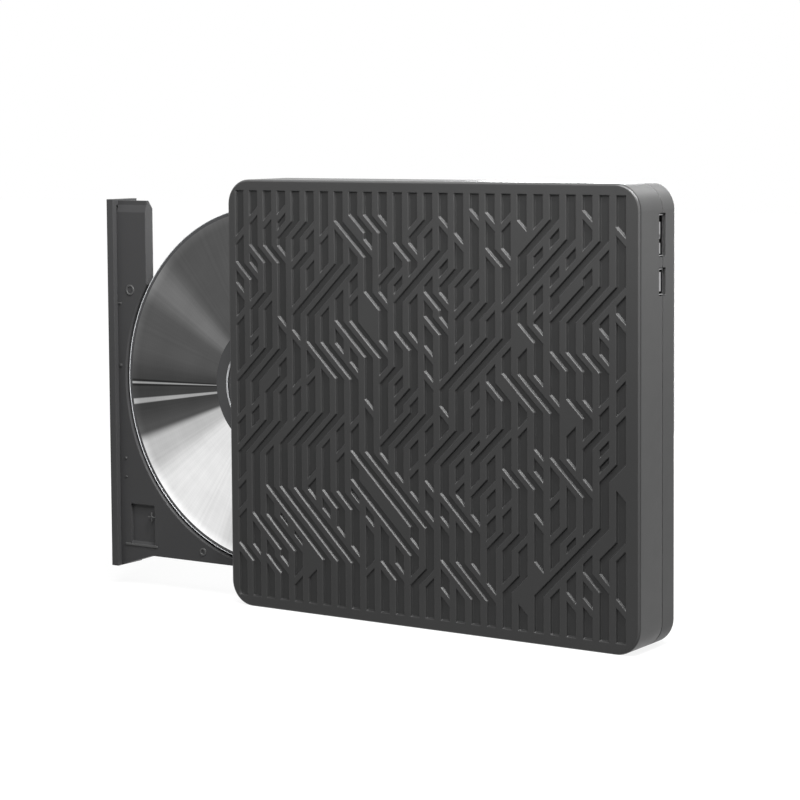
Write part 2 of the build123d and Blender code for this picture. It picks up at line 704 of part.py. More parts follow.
def usb_port_tongue():
    """The wide data port's two tongues on one back block."""
    low_y = PORT_Y - PORT_THICKNESS / 2 + PORT_SHEET + 0.35
    x0 = PORT_FACE_X - PORT_DEPTH + PORT_SHEET
    half = USB_PORT_LENGTH / 2 - PORT_SHEET - 1.0
    back = block(x0, x0 + 0.8, PORT_Y - 0.2, PORT_Y + 1.2, USB_PORT_Z - half, USB_PORT_Z + half)
    tongues = port_tongue(USB_PORT_Z, -half, -1.3) + port_tongue(USB_PORT_Z, 1.3, half)
    bridges = block(x0, x0 + 0.8, low_y, PORT_Y + 0.2, USB_PORT_Z - half, USB_PORT_Z - 1.3)
    bridges += block(x0, x0 + 0.8, low_y, PORT_Y + 0.2, USB_PORT_Z + 1.3, USB_PORT_Z + half)
    return back + tongues + bridges


def power_port_shell():
    """The small power port's shell."""
    return port_shell(POWER_PORT_LENGTH, False, POWER_PORT_Z)


def power_port_tongue():
    """The small power port's tongue."""
    half = POWER_PORT_LENGTH / 2 - PORT_SHEET - 1.0
    return port_tongue(POWER_PORT_Z, -half, half)


def bridge_socket():
    """The connector on the bridge board that the drive plugs into."""
    x0 = DRIVE_REAR + 0.4
    socket = block(x0, x0 + 6.4, -2.0, BRIDGE_BOARD_Y, SATA_LOW_Z, SATA_HIGH_Z)
    return socket - block(x0 - 1, x0 + 4.0, -0.6, 1.4, SATA_LOW_Z + 1.6, SATA_HIGH_Z - 1.6)


# Drive body


def drive_pan():
    """The drive's folded sheet pan: deep under the tray, shallow under the disc's overhang."""
    x0, x1 = DRIVE_FRONT, DRIVE_REAR
    low_y = LID_Y + SHEET
    pan = block(x0, x1, PAN_FLOOR_Y, PAN_BACK_Y, DRIVE_LOW_Z, SHELF_Z + SHEET)
    pan += block(x0, x1, low_y, PAN_BACK_Y, DRIVE_LOW_Z, DRIVE_LOW_Z + SHEET)
    pan += block(x0, x1, SHELF_Y, PAN_BACK_Y, SHELF_Z, SHELF_Z + SHEET)
    pan += block(x0, x1, SHELF_Y, SHELF_Y + SHEET, SHELF_Z, DRIVE_HIGH_Z)
    pan += block(x0, x1, low_y, SHELF_Y + SHEET, DRIVE_HIGH_Z - SHEET, DRIVE_HIGH_Z)
    pan += block(x1 - SHEET, x1, low_y, PAN_BACK_Y, DRIVE_LOW_Z, SHELF_Z + SHEET)
    pan += block(x1 - SHEET, x1, low_y, SHELF_Y + SHEET, SHELF_Z, DRIVE_HIGH_Z)
    pan -= block(x1 - 2, x1 + 1, -1.8, CONNECTOR_BOARD_Y + 0.2, SATA_LOW_Z + 0.2, SATA_HIGH_Z - 0.2)
    for x, z in FEET[:2]:
        end = SHELF_Y + SHEET if z > SHELF_Z else PAN_BACK_Y
        pan -= post(x, z, SCREW_RADIUS + FIT, end - SHEET - 0.2, end + 0.2)
    for x, z in LID_SCREWS:
        pan += block(x - 2.2, x + 2.2, low_y, low_y + 1.0, *tab_span(z))
        pan -= post(x, z, 0.75, low_y - 0.2, low_y + 1.2)
    return pan


def tab_span(z):
    """Where a lid screw's tab lies, from the pan's side wall inwards."""
    if z < DISC_Z:
        return DRIVE_LOW_Z, z + 1.6
    return z - 1.6, DRIVE_HIGH_Z


def drive_lid():
    """The drive's flat sheet lid, with a shallow round bead over the hub."""
    lid = block(DRIVE_FRONT, DRIVE_REAR, LID_Y, LID_Y + SHEET, DRIVE_LOW_Z, DRIVE_HIGH_Z)
    for x, z in LID_SCREWS:
        lid -= post(x, z, 0.85, LID_Y - 1, LID_Y + SHEET + 1)
    return lid - ring(DISC_X, DISC_Z, 44.0, 42.4, LID_Y - 1, LID_Y + 0.15)


def lid_screws():
    """Flat-headed screws that hold the lid."""
    return group([screw(x, z, LID_Y, LID_Y + SHEET + 0.9, 1.6, 0.3, 0.7, way=-1) for x, z in LID_SCREWS])


def rail_guide(low):
    """A plastic guide along the pan's side wall, grooved for a rail."""
    x0, x1 = DRIVE_FRONT + GUIDE_FRONT_GAP, DRIVE_FRONT + GUIDE_FRONT_GAP + GUIDE_LENGTH
    y0, y1 = RAIL_LOW_Y - RAIL_PLAY - GUIDE_SKIRT, PAN_FLOOR_Y
    groove_y0, groove_y1 = RAIL_LOW_Y - RAIL_PLAY, RAIL_LOW_Y + RAIL_THICKNESS + RAIL_PLAY
    wall = DRIVE_LOW_Z + SHEET if low else SHELF_Z
    way = 1 if low else -1
    z0, z1 = sorted((wall, wall + way * GUIDE_WIDTH))
    if low:
        foot = BEZEL_LOW_Z + TRAY_FOOT_LIFT
        x0 = TRAY_FRONT + TAPER_START + TAPER_LENGTH * (z1 - foot) / (TRAY_LOW_Z - foot) + 1.0
    groove_z0, groove_z1 = sorted((wall + way * GUIDE_SKIRT, wall + way * (GUIDE_WIDTH + 1)))
    guide = block(x0, x1, y0, y1, z0, z1)
    return guide - block(x0 - 1, x1 + 1, groove_y0, groove_y1, groove_z0, groove_z1)


def rail(low):
    """A steel rail that slides in its guide and in the tray's side groove, shut place."""
    x1 = TRAY_REAR - RAIL_REAR_GAP
    if low:
        z0 = DRIVE_LOW_Z + SHEET + GUIDE_SKIRT + RAIL_PLAY
        z1 = TRAY_LOW_Z + RAIL_GROOVE_DEPTH - RAIL_PLAY
    else:
        z0 = TRAY_HIGH_Z - RAIL_GROOVE_DEPTH + RAIL_PLAY
        z1 = SHELF_Z - GUIDE_SKIRT - RAIL_PLAY
    bar = block(x1 - RAIL_LENGTH, x1, RAIL_LOW_Y, RAIL_LOW_Y + RAIL_THICKNESS, z0, z1)
    bar = chamfer(bar.edges().filter_by(Axis.Y), 0.6)
    for x in (x1 - RAIL_LENGTH + 8.0, x1 - 8.0):
        bar -= post(x, (z0 + z1) / 2, 0.7, RAIL_LOW_Y - 1, RAIL_LOW_Y + RAIL_THICKNESS + 1)
    return bar


def connector_board():
    """The small board at the back of the pan that carries the drive's plug."""
    return block(
        CONNECTOR_FRONT, DRIVE_REAR - SHEET - 0.2, CONNECTOR_BOARD_Y, CABLE_Y, SATA_LOW_Z - 1, SATA_HIGH_Z + 1
    )


def drive_plug():
    """The drive's plug, with its tongue reaching through the pan's rear wall."""
    plug = block(DRIVE_REAR - 5, DRIVE_REAR, -1.6, CONNECTOR_BOARD_Y, SATA_LOW_Z + 0.5, SATA_HIGH_Z - 0.5)
    return plug + block(DRIVE_REAR - 1, DRIVE_REAR + 3.8, -0.2, 1.0, SATA_LOW_Z + 2.0, SATA_HIGH_Z - 2.0)


def flat_cable():
    """The flat cable from the connector board to the tray's board, as it lies with the tray out."""
    y0, y1 = CABLE_Y, CABLE_Y + CABLE_THICKNESS
    z0, z1 = CABLE_LOW_Z, CABLE_LOW_Z + CABLE_WIDTH
    end = TRAY_BOARD_REAR - TRAY_OUT
    upper = TRAY_BOARD_Y + TRAY_BOARD_THICKNESS
    radius = (y1 - upper) / 2
    fold = end - 6.0
    lower_run = block(fold, CONNECTOR_FRONT + 11, y0, y1, z0, z1)
    lower_run += block(CONNECTOR_FRONT, CONNECTOR_FRONT + 11, y0, y1, z0, SATA_LOW_Z + 6)
    turn = Pos(fold, upper + radius, (z0 + z1) / 2) * (
        Cylinder(radius, CABLE_WIDTH) - Cylinder(radius - CABLE_THICKNESS, CABLE_WIDTH + 1)
    )
    turn &= block(fold - radius - 1, fold, upper - 1, y1 + 1, z0, z1)
    upper_run = block(fold, end, upper, upper + CABLE_THICKNESS, z0, z1)
    return lower_run + turn + upper_run


def latch_post():
    """The steel post on the pan that the latch hooks."""
    top = RAIL_LOW_Y + 0.2
    peg = post(LATCH_POST_X, LATCH_POST_Z, LATCH_POST_RADIUS, top, PAN_FLOOR_Y)
    return chamfer(peg.edges().sort_by(Axis.Y)[0], 0.3)


# Tray, drawn shut


def overhang_corner_z():
    """Height at which the arc under the disc's overhang meets the front strip."""
    reach = DISC_X - (TRAY_FRONT + STRIP_WIDTH)
    return DISC_Z + math.sqrt(OVERHANG_RADIUS**2 - reach**2)


def tray_outline(margin):
    """The tray's outline, drawn in by a margin."""
    low, high = TRAY_LOW_Z + margin, TRAY_HIGH_Z - margin
    front, rear = TRAY_FRONT + margin, TRAY_REAR - margin
    cut = TRAY_CORNER - margin * 0.4
    radius = OVERHANG_RADIUS - margin
    start = (DISC_X - math.sqrt(radius**2 - (high - DISC_Z) ** 2), high)
    corner = (TRAY_FRONT + STRIP_WIDTH, overhang_corner_z())
    shrink = radius / OVERHANG_RADIUS
    end = (DISC_X + (corner[0] - DISC_X) * shrink, DISC_Z + (corner[1] - DISC_Z) * shrink)
    first_angle = math.atan2(start[1] - DISC_Z, start[0] - DISC_X)
    angle = (first_angle + math.atan2(end[1] - DISC_Z, end[0] - DISC_X)) / 2
    middle = (DISC_X + radius * math.cos(angle), DISC_Z + radius * math.sin(angle))
    taper_x = TRAY_FRONT + TAPER_LENGTH
    foot = BEZEL_LOW_Z + TRAY_FOOT_LIFT + margin
    top = STRIP_TOP_Z - margin
    points = [end] if margin == 0 else [end, (corner[0] - margin, corner[1])]
    points += [(corner[0] - margin, top), (front, top), (front, foot), (front + TAPER_START, foot)]
    points += [(taper_x + TAPER_START, low), (rear - cut, low), (rear, low + cut)]
    points += [(rear, high - cut), (rear - cut, high)]
    return make_face(Polyline(*points, start) + ThreePointArc(start, middle, end))


def recess():
    """The round bed that the disc turns in."""
    bed = post(DISC_X, DISC_Z, RECESS_RADIUS, DECK_Y - 1, FLOOR_TOP_Y)
    rim = Cone(RECESS_RADIUS, RECESS_RADIUS + 2 * RECESS_BEVEL, 2 * RECESS_BEVEL)
    return bed + Pos(DISC_X, DECK_Y, DISC_Z) * Rot(90, 0, 0) * rim


def traverse_window(margin=0.0):
    """The window in the tray's floor over the traverse."""
    x0, x1 = CHASSIS_LEFT - 0.5 + margin, DISC_X + TABLE_RADIUS + 2.0 - margin
    return rounded(x0, x1, DISC_Z - CHASSIS_LOW + 4.5 + margin, DISC_Z + CHASSIS_HIGH - 0.6 - margin, 4.0)


def tray():
    """The tray: a deck with the disc's bed, side walls grooved for the rails, and bosses."""
    x0, x1 = TRAY_FRONT, TRAY_REAR
    body = slab(tray_outline(0), DECK_Y, FLOOR_BOTTOM_Y)
    walls = slab(tray_outline(0), FLOOR_BOTTOM_Y, TRAY_BOTTOM_Y) - slab(
        tray_outline(TRAY_WALL), FLOOR_BOTTOM_Y - 1, TRAY_BOTTOM_Y + 1
    )
    strip_end = x0 + STRIP_WIDTH
    walls -= block(x0 - 1, strip_end, FLOOR_BOTTOM_Y - 1, TRAY_BOTTOM_Y + 1, STRIP_FOOT_Z, STRIP_TOP_Z + 1)
    body += walls
    body += block(x0, strip_end, FLOOR_BOTTOM_Y, STRIP_BOTTOM_Y, STRIP_FOOT_Z + 0.5, STRIP_TOP_Z)
    socket_low = SATA_LOW_Z - 2
    body -= block(CONNECTOR_FRONT - 1, x1 + 1, FLOOR_BOTTOM_Y, TRAY_BOTTOM_Y + 1, socket_low, TRAY_HIGH_Z + 1)
    body -= recess()
    body -= slab(traverse_window(), FLOOR_TOP_Y - 1, FLOOR_BOTTOM_Y + 1)
    groove_y0, groove_y1 = RAIL_LOW_Y - RAIL_PLAY, RAIL_LOW_Y + RAIL_THICKNESS + RAIL_PLAY
    groove_x0 = x0 + TAPER_LENGTH + 1.0
    for edge, way in ((TRAY_LOW_Z, 1), (TRAY_HIGH_Z, -1)):
        z0, z1 = sorted((edge - way, edge + way * RAIL_GROOVE_DEPTH))
        body -= block(groove_x0, x1 + 1, groove_y0, groove_y1, z0, z1)
    for x, z in DAMPERS:
        body += post(x, z, 2.4, FLOOR_BOTTOM_Y - 0.2, CHASSIS_Y - 0.6)
        body += post(x, z, 1.2, FLOOR_BOTTOM_Y - 0.2, CHASSIS_BOTTOM_Y + 0.6)
        body -= post(x, z, 0.7, FLOOR_BOTTOM_Y, CHASSIS_BOTTOM_Y + 1)
    for x, z in TRAY_SCREWS:
        body += post(x, z, 2.2, FLOOR_BOTTOM_Y - 0.2, TRAY_BOTTOM_Y)
        body -= post(x, z, 0.75, FLOOR_BOTTOM_Y, TRAY_BOTTOM_Y + 1)
    for x in (DISC_X - 36.0, DISC_X):
        body += post(x, TRAY_BOARD_LOW_Z + 5.6, 2.0, FLOOR_BOTTOM_Y - 0.2, TRAY_BOARD_Y)
    body -= rod(BUTTON_Y, BUTTON_Z, 1.1, x0 - 1, x0 + TRAY_WALL + 1)
    return (body - deck_bevels()) - front_pocket()


def deck_bevels():
    """The sloping top edge of the tray's front strip and the cut at its far corner."""
    x0, x1 = TRAY_FRONT - 1, TRAY_FRONT + STRIP_WIDTH + 1
    top, foot = STRIP_TOP_Z + 1.8, STRIP_TOP_Z - STRIP_BEVEL
    bevel = [(DECK_Y - 1, foot - 1.2), (DECK_Y, foot), (DECK_Y + 0.9, foot + 2.5)]
    bevel += [(DECK_Y + 0.9, top), (DECK_Y - 1, top)]
    heel = [(FLOOR_TOP_Y - 1.0, top - 1.5), (STRIP_BOTTOM_Y + 0.5, foot + 0.7), (STRIP_BOTTOM_Y + 0.5, top)]
    cut = None
    for outline in (bevel, heel):
        face = make_face(Polyline(*[Vector(x0, y, z) for y, z in outline], close=True))
        piece = extrude(face, amount=x1 - x0, dir=(1, 0, 0))
        cut = piece if cut is None else cut + piece
    return cut


def front_pocket():
    """The shallow square pocket in the deck near the tray's lower front corner."""
    x0, z0 = TRAY_FRONT + 4.5, TRAY_LOW_Z + 2.9
    floor, sill = DECK_Y + POCKET_DEPTH, z0 + POCKET_SLOPE
    pocket = block(x0, x0 + POCKET_SIZE, DECK_Y - 1, floor, sill, z0 + POCKET_HEIGHT)
    slope = [(DECK_Y - 0.01, z0), (floor, sill), (DECK_Y - 0.01, sill)]
    face = make_face(Polyline(*[Vector(x0, y, z) for y, z in slope], close=True))
    return pocket + extrude(face, amount=POCKET_SIZE, dir=(1, 0, 0))


def bezel():
    """The plate on the tray's front end, with holes for the button, the light and a pin."""
    plate = block(LEFT, LEFT + BEZEL_THICKNESS, LID_Y, PAN_BACK_Y, BEZEL_LOW_Z, BEZEL_HIGH_Z)
    plate = fillet(plate.faces().sort_by(Axis.X)[0].edges(), BEZEL_EDGE_RADIUS)
    plate -= block(
        LEFT + BEZEL_PLATE,
        TRAY_FRONT + 1,
        LID_Y + BEZEL_RIM,
        PAN_BACK_Y - BEZEL_RIM,
        BEZEL_LOW_Z + BEZEL_RIM,
        BEZEL_HIGH_Z - BEZEL_RIM,
    )
    plate -= button_block(BUTTON_PLAY, LEFT - 1, TRAY_FRONT)
    plate -= led_block(LEFT - 1, TRAY_FRONT)
    return plate - rod(BUTTON_Y, PINHOLE_Z, PINHOLE_RADIUS, LEFT - 1, TRAY_FRONT)


def led_block(x0, x1):
    """The outline of the light's window between two planes."""
    half = LED_WIDTH / 2
    return block(x0, x1, BUTTON_Y - half, BUTTON_Y + half, LED_Z, LED_Z + LED_LENGTH)


def button_block(play, x0, x1):
    """The eject button's outline, with some play, between two planes."""
    y0, y1 = BUTTON_Y - BUTTON_WIDTH / 2 - play, BUTTON_Y + BUTTON_WIDTH / 2 + play
    z0, z1 = BUTTON_Z - BUTTON_LENGTH / 2 - play, BUTTON_Z + BUTTON_LENGTH / 2 + play
    return block(x0, x1, y0, y1, z0, z1)


def eject_button():
    """The eject button with its stop flange and the stem that reaches the switch."""
    cap = button_block(0, LEFT - BUTTON_PROUD, LEFT + BEZEL_PLATE + 0.3)
    cap = fillet(cap.faces().sort_by(Axis.X)[0].edges(), 0.25)
    flange = button_block(0.6, LEFT + BEZEL_PLATE + 0.1, LEFT + BEZEL_PLATE + 0.5)
    return cap + flange + rod(BUTTON_Y, BUTTON_Z, 0.8, LEFT + BEZEL_PLATE + 0.4, TRAY_FRONT + TRAY_WALL - 0.3)


def led_window():
    """The clear window for the activity light."""
    return led_block(LEFT, LEFT + BEZEL_PLATE)


def eject_switch():
    """The small switch behind the eject button."""
    x0 = TRAY_FRONT + TRAY_WALL + 0.5
    body = block(x0 + 0.6, x0 + 3.4, BUTTON_Y - 1.1, TRAY_BOARD_Y, BUTTON_Z - 1.5, BUTTON_Z + 2.0)
    return body + rod(BUTTON_Y, BUTTON_Z, 0.7, x0, x0 + 1.0)


def tray_board():
    """The drive's circuit board under the tray's floor."""
    y0, y1 = TRAY_BOARD_Y, TRAY_BOARD_Y + TRAY_BOARD_THICKNESS
    z0 = TRAY_BOARD_LOW_Z
    return block(TRAY_FRONT + TRAY_WALL + 0.4, TRAY_BOARD_REAR, y0, y1, z0, z0 + TRAY_BOARD_WIDTH)


def tray_chips():
    """The drive's chips, crystal, and small parts on the tray's board."""
    x, z = DISC_X, TRAY_BOARD_LOW_Z
    chips = [(x - 26.0, z + 1.0, 12.0, 12.0, 1.1), (x - 10.0, z + 2.6, 6.0, 10.0, 0.9)]
    chips += [(x + 6.0, z + 1.6, 8.0, 8.0, 1.1), (x - 52.0, z + 1.6, 8.0, 5.5, 1.0)]
    chips.append((x + 18.0, z + 2.6, 4.0, 4.0, 1.8))
    chips += [(x - 26.0 + step * 2.2, z + 14.0, 0.9, 1.8, 0.6) for step in range(6)]
    return group([chip(*place, TRAY_BOARD_Y) for place in chips])


def tray_bottom_cover():
    """The thin sheet under the tray, cut round the latch's path, the plug and the cable's fold."""
    y0, y1 = TRAY_BOTTOM_Y, TRAY_BOTTOM_Y + TRAY_COVER_SHEET
    low, high = TRAY_LOW_Z + 0.4, TRAY_COVER_HIGH_Z
    cover = block(TRAY_FRONT + TAPER_LENGTH, TRAY_REAR - TRAY_CORNER, y0, y1, low, high)
    cover += block(TRAY_FRONT + 0.6, TRAY_FRONT + TAPER_LENGTH + 1, y0, y1, low, high - 6)
    cover -= block(CONNECTOR_FRONT - 1, TRAY_REAR, y0 - 1, y1 + 1, SATA_LOW_Z - 2, TRAY_COVER_HIGH_Z + 1)
    fold = TRAY_BOARD_REAR - 12.0
    cover -= block(fold, TRAY_BOARD_REAR + 4, y0 - 1, y1 + 1, CABLE_LOW_Z - 1, CABLE_LOW_Z + CABLE_WIDTH + 1)
    for x, z in TRAY_SCREWS:
        cover -= post(x, z, 1.0, y0 - 1, y1 + 1)
    return cover


def tray_screws():
    """Low-headed screws that hold the sheet under the tray."""
    seat = TRAY_BOTTOM_Y + TRAY_COVER_SHEET + TRAY_SCREW_PLAY
    pieces = []
    for x, z in TRAY_SCREWS:
        pieces.append(post(x, z, 1.7, seat, seat + 0.2) + post(x, z, 0.7, seat - 3.5, seat + 0.1))
    return group(pieces)


# Traverse, drawn shut


def traverse_chassis():
    """The frame that carries the motor, the rods and the pickup, with three damper ears."""
    low, high = DISC_Z - CHASSIS_LOW, DISC_Z + CHASSIS_HIGH
    y0, y1 = CHASSIS_Y, CHASSIS_BOTTOM_Y
    slot_right = DISC_X - SLOT_INNER
    frame = block(CHASSIS_LEFT, CHASSIS_RIGHT, y0, y1, low, high)
    rim_y0, rim_y1 = CHASSIS_RIM_LOW_Y, CHASSIS_RIM_HIGH_Y
    rim = block(CHASSIS_LEFT, CHASSIS_RIGHT, rim_y0, rim_y1, low, high)
    inner = CHASSIS_RIM
    hole_left, hole_right = CHASSIS_LEFT + inner, CHASSIS_RIGHT - inner
    rim -= block(hole_left, hole_right, rim_y0 - 1, rim_y1 + 1, low + inner, high - inner)
    frame += rim
    for x, z in DAMPERS:
        way = -1 if z < DISC_Z else 1
        edge = low if way < 0 else high
        z0, z1 = sorted((z, edge - way * 0.5))
        frame += post(x, z, 4.0, y0, y1) + block(x - 4, x + 4, y0, y1, z0, z1)
    for x, z in DAMPERS:
        frame -= post(x, z, 2.4, y0 - 1, y1 + 1)
    frame -= block(CHASSIS_LEFT + inner, slot_right, rim_y0 - 1, rim_y1 + 1, low + 3.0, high - 2.5)
    frame -= post(DISC_X, DISC_Z, 12.0, y0 - 1, y1 + 1)
    motor_x = DISC_X + 1.0
    motor_end = motor_x + SLED_MOTOR_LENGTH + 0.4
    frame -= block(motor_x - 14.0, motor_end, y0 - 1, y1 + 1, SCREW_Z - 2.8, SCREW_Z + 2.8)
    for way in (-1, 1):
        z = DISC_Z + way * ROD_OFFSET
        frame += block(slot_right - 0.5, slot_right + 1.6, y0, 1.6, z - 2.2, z + 2.2)
        frame -= rod(ROD_Y, z, ROD_RADIUS + 0.03, CHASSIS_LEFT + 0.4, slot_right + 1.0)
    frame -= rod(ROD_Y, SCREW_Z, ROD_RADIUS + 0.15, CHASSIS_LEFT + 0.4, CHASSIS_LEFT + inner + 1)
    pad_y = TRAVERSE_COVER_Y + TRAVERSE_COVER_SHEET
    frame += block(CHASSIS_LEFT, CHASSIS_LEFT + inner, pad_y, rim_y0, DISC_Z - 13, DISC_Z + 13)
    for z in (DISC_Z - 20, DISC_Z + 8):
        frame += block(DISC_X + 14, DISC_X + 16.4, pad_y, y0, z, z + 7)
    return frame


def traverse_cover():
    """The bright sheet over the traverse, open for the turntable and along the lens's path."""
    y0, y1 = TRAVERSE_COVER_Y, TRAVERSE_COVER_Y + TRAVERSE_COVER_SHEET
    cover = slab(traverse_window(0.4), y0, y1)
    cover -= post(DISC_X, DISC_Z, TABLE_RADIUS + 1.0, y0 - 1, y1 + 1)
    x0 = DISC_X - LENS_START - LENS_TRAVEL - 4.6
    return cover - slab(rounded(x0, DISC_X - 8, DISC_Z - 6.5, DISC_Z + 6.5, 3.0), y0 - 1, y1 + 1)


def dampers():
    """Rubber bushes between the traverse's ears and the tray's bosses."""
    pieces = []
    for x, z in DAMPERS:
        bush = post(x, z, 3.2, CHASSIS_Y - 0.6, CHASSIS_Y) + post(x, z, 2.35, CHASSIS_Y, CHASSIS_BOTTOM_Y)
        bush += post(x, z, 3.2, CHASSIS_BOTTOM_Y, CHASSIS_BOTTOM_Y + 0.6)
        pieces.append(bush - post(x, z, 1.25, CHASSIS_Y - 1, CHASSIS_BOTTOM_Y + 1))
    return group(pieces)


def damper_screws():
    """Wide-headed screws that keep the bushes on their bosses."""
    seat = CHASSIS_BOTTOM_Y + 0.6
    return group([screw(x, z, seat, seat - 2.4, 2.6, 0.8, 0.65) for x, z in DAMPERS])


def motor_stator():
    """The spindle motor's base plate, its legs and the wound core."""
    base = post(DISC_X, DISC_Z, MOTOR_BASE_RADIUS, MOTOR_BASE_Y, MOTOR_BASE_Y + MOTOR_BASE_THICKNESS)
    for turn in range(3):
        angle = math.radians(120 * turn)
        x, z = DISC_X + 12.75 * math.cos(angle), DISC_Z + 12.75 * math.sin(angle)
        base += post(x, z, 0.7, CHASSIS_BOTTOM_Y, MOTOR_BASE_Y + 0.2)
    core_top = CHASSIS_Y - 0.4
    base += post(DISC_X, DISC_Z, 4.0, core_top, MOTOR_BASE_Y + 0.2)
    for turn in range(9):
        tooth = block(3.0, STATOR_RADIUS, core_top + 0.4, MOTOR_BASE_Y - 0.6, -1.0, 1.0)
        base += Pos(DISC_X, 0, DISC_Z) * Rot(0, 40 * turn, 0) * tooth
    return base - post(DISC_X, DISC_Z, SHAFT_RADIUS + 0.05, core_top - 1, MOTOR_BASE_Y + 0.1)


def guide_rod(way):
    """A polished rod that the pickup slides on."""
    return rod(ROD_Y, DISC_Z + way * ROD_OFFSET, ROD_RADIUS, CHASSIS_LEFT + 0.5, DISC_X - SLOT_INNER + 0.9)


def sled_motor():
    """The small stepping motor that turns the lead screw."""
    x0 = DISC_X + 1.0
    body = rod(ROD_Y, SCREW_Z, SLED_MOTOR_RADIUS, x0, x0 + SLED_MOTOR_LENGTH)
    return body + rod(ROD_Y, SCREW_Z, 1.4, x0 - 0.6, x0)


def latch_solenoid():
    """The coil that releases the latch, fixed under the tray's floor."""
    x0, z0 = LATCH_X + 1.0, DISC_Z + CHASSIS_HIGH + 0.6
    coil = block(x0, x0 + 8.0, FLOOR_BOTTOM_Y, 0.8, z0, z0 + 3.6)
    return coil + block(x0 + 8.0, x0 + 9.2, FLOOR_BOTTOM_Y, 1.4, z0 + 0.8, z0 + 2.8)


def latch_pivot():
    """The pin that the latch turns on."""
    pin = post(LATCH_X, LATCH_Z, 0.9, FLOOR_BOTTOM_Y, 1.9)
    return pin + post(LATCH_X, LATCH_Z, 1.6, 1.55, 2.15)


def latch_lever():
    """The latch's hook, turned back to its released place."""
    y0, y1 = 0.2, 1.4
    half = 1.2
    hook_x = LATCH_POST_X + LATCH_POST_RADIUS + 0.25
    lever = post(LATCH_X, LATCH_Z, 2.1, y0, y1)
    lever += block(LATCH_X, hook_x + 1.8, y0, y1, LATCH_Z - half, LATCH_Z + half)
    lever += block(hook_x, hook_x + 1.8, y0, y1, LATCH_Z, LATCH_Z + 3.8)
    lever -= post(LATCH_X, LATCH_Z, 1.0, y0 - 1, y1 + 1)
    turn = Pos(LATCH_X, 0, LATCH_Z) * Rot(0, LATCH_RELEASE, 0) * Pos(-LATCH_X, 0, -LATCH_Z)
    return turn * lever


# What turns with the disc, drawn shut


def rotor_cup():
    """The spindle motor's turning cup."""
    y0 = DISC_BOTTOM_Y + PAD_THICKNESS + TABLE_THICKNESS
    cup = post(DISC_X, DISC_Z, ROTOR_RADIUS, y0, y0 + ROTOR_HEIGHT)
    cup -= post(DISC_X, DISC_Z, ROTOR_RADIUS - ROTOR_WALL, y0 + ROTOR_WALL, y0 + ROTOR_HEIGHT + 1)
    return cup - post(DISC_X, DISC_Z, SHAFT_RADIUS, y0 - 1, y0 + ROTOR_WALL + 1)


def spindle_shaft():
    """The spindle's shaft."""
    y0 = DISC_BOTTOM_Y + PAD_THICKNESS + TABLE_THICKNESS
    return post(DISC_X, DISC_Z, SHAFT_RADIUS, y0, MOTOR_BASE_Y - 0.1)


def turntable():
    """The turntable's flange and the hub that centres the disc."""
    y0 = DISC_BOTTOM_Y + PAD_THICKNESS
    flange = post(DISC_X, DISC_Z, TABLE_RADIUS, y0, y0 + TABLE_THICKNESS)
    hub = post(DISC_X, DISC_Z, HUB_RADIUS, HUB_TOP_Y, y0 + 0.1)
    hub = chamfer(hub.edges().sort_by(Axis.Y)[0], 0.7)
    hub -= post(DISC_X, DISC_Z, 3.2, HUB_TOP_Y - 1, HUB_TOP_Y + 0.8)
    table = flange + hub
    for turn in range(3):
        table -= jaw_place(turn) * jaw_block(JAW_PLAY)
    return table


def turntable_pad():
    """The rubber ring that the disc lies on."""
    pad_top = DISC_BOTTOM_Y + PAD_THICKNESS
    return ring(DISC_X, DISC_Z, TABLE_RADIUS, TABLE_RADIUS - PAD_WIDTH, DISC_BOTTOM_Y, pad_top)


def jaw_block(play):
    """One clamping jaw, or with play the slot that it slides in."""
    x0 = JAW_REACH - JAW_LENGTH
    half_y, half_z = JAW_HEIGHT / 2 + play, JAW_WIDTH / 2 + play
    return block(x0 - play, JAW_REACH + play, JAW_Y - half_y, JAW_Y + half_y, -half_z, half_z)


def jaw_place(turn):
    """Where each of the three jaws stands round the hub."""
    return Pos(DISC_X, 0, DISC_Z) * Rot(0, 120 * turn + 30, 0)


def clamp_jaws():
    """Three sprung jaws in the hub that snap over the disc's inner edge."""
    jaw = jaw_block(0)
    jaw = chamfer(jaw.faces().sort_by(Axis.X)[-1].edges().filter_by(Axis.Z), 0.35)
    return group([jaw_place(turn) * jaw for turn in range(3)])


def disc():
    """The clear disc, with its stacking ring and the bed for the bright layer."""
    body = ring(DISC_X, DISC_Z, DISC_RADIUS, DISC_BORE_RADIUS, DISC_TOP_Y, DISC_BOTTOM_Y)
    body = chamfer(body.edges().filter_by(GeomType.CIRCLE).group_by(SortBy.RADIUS)[-1], 0.15)
    ridge_outer = STACK_RING_RADIUS + STACK_RING_WIDTH / 2
    ridge_inner = STACK_RING_RADIUS - STACK_RING_WIDTH / 2
    ridge_y = DISC_TOP_Y - STACK_RING_HEIGHT
    body += ring(DISC_X, DISC_Z, ridge_outer, ridge_inner, ridge_y, DISC_TOP_Y + 0.1)
    floor_y = DISC_TOP_Y + MIRROR_THICKNESS
    return body - ring(DISC_X, DISC_Z, MIRROR_OUTER_RADIUS, MIRROR_INNER_RADIUS, DISC_TOP_Y - 1, floor_y)


def disc_mirror():
    """The disc's bright layer."""
    y0 = DISC_TOP_Y
    return ring(DISC_X, DISC_Z, MIRROR_OUTER_RADIUS, MIRROR_INNER_RADIUS, y0, y0 + MIRROR_THICKNESS)


# What slides with the pickup, drawn shut and at the disc's inner edge


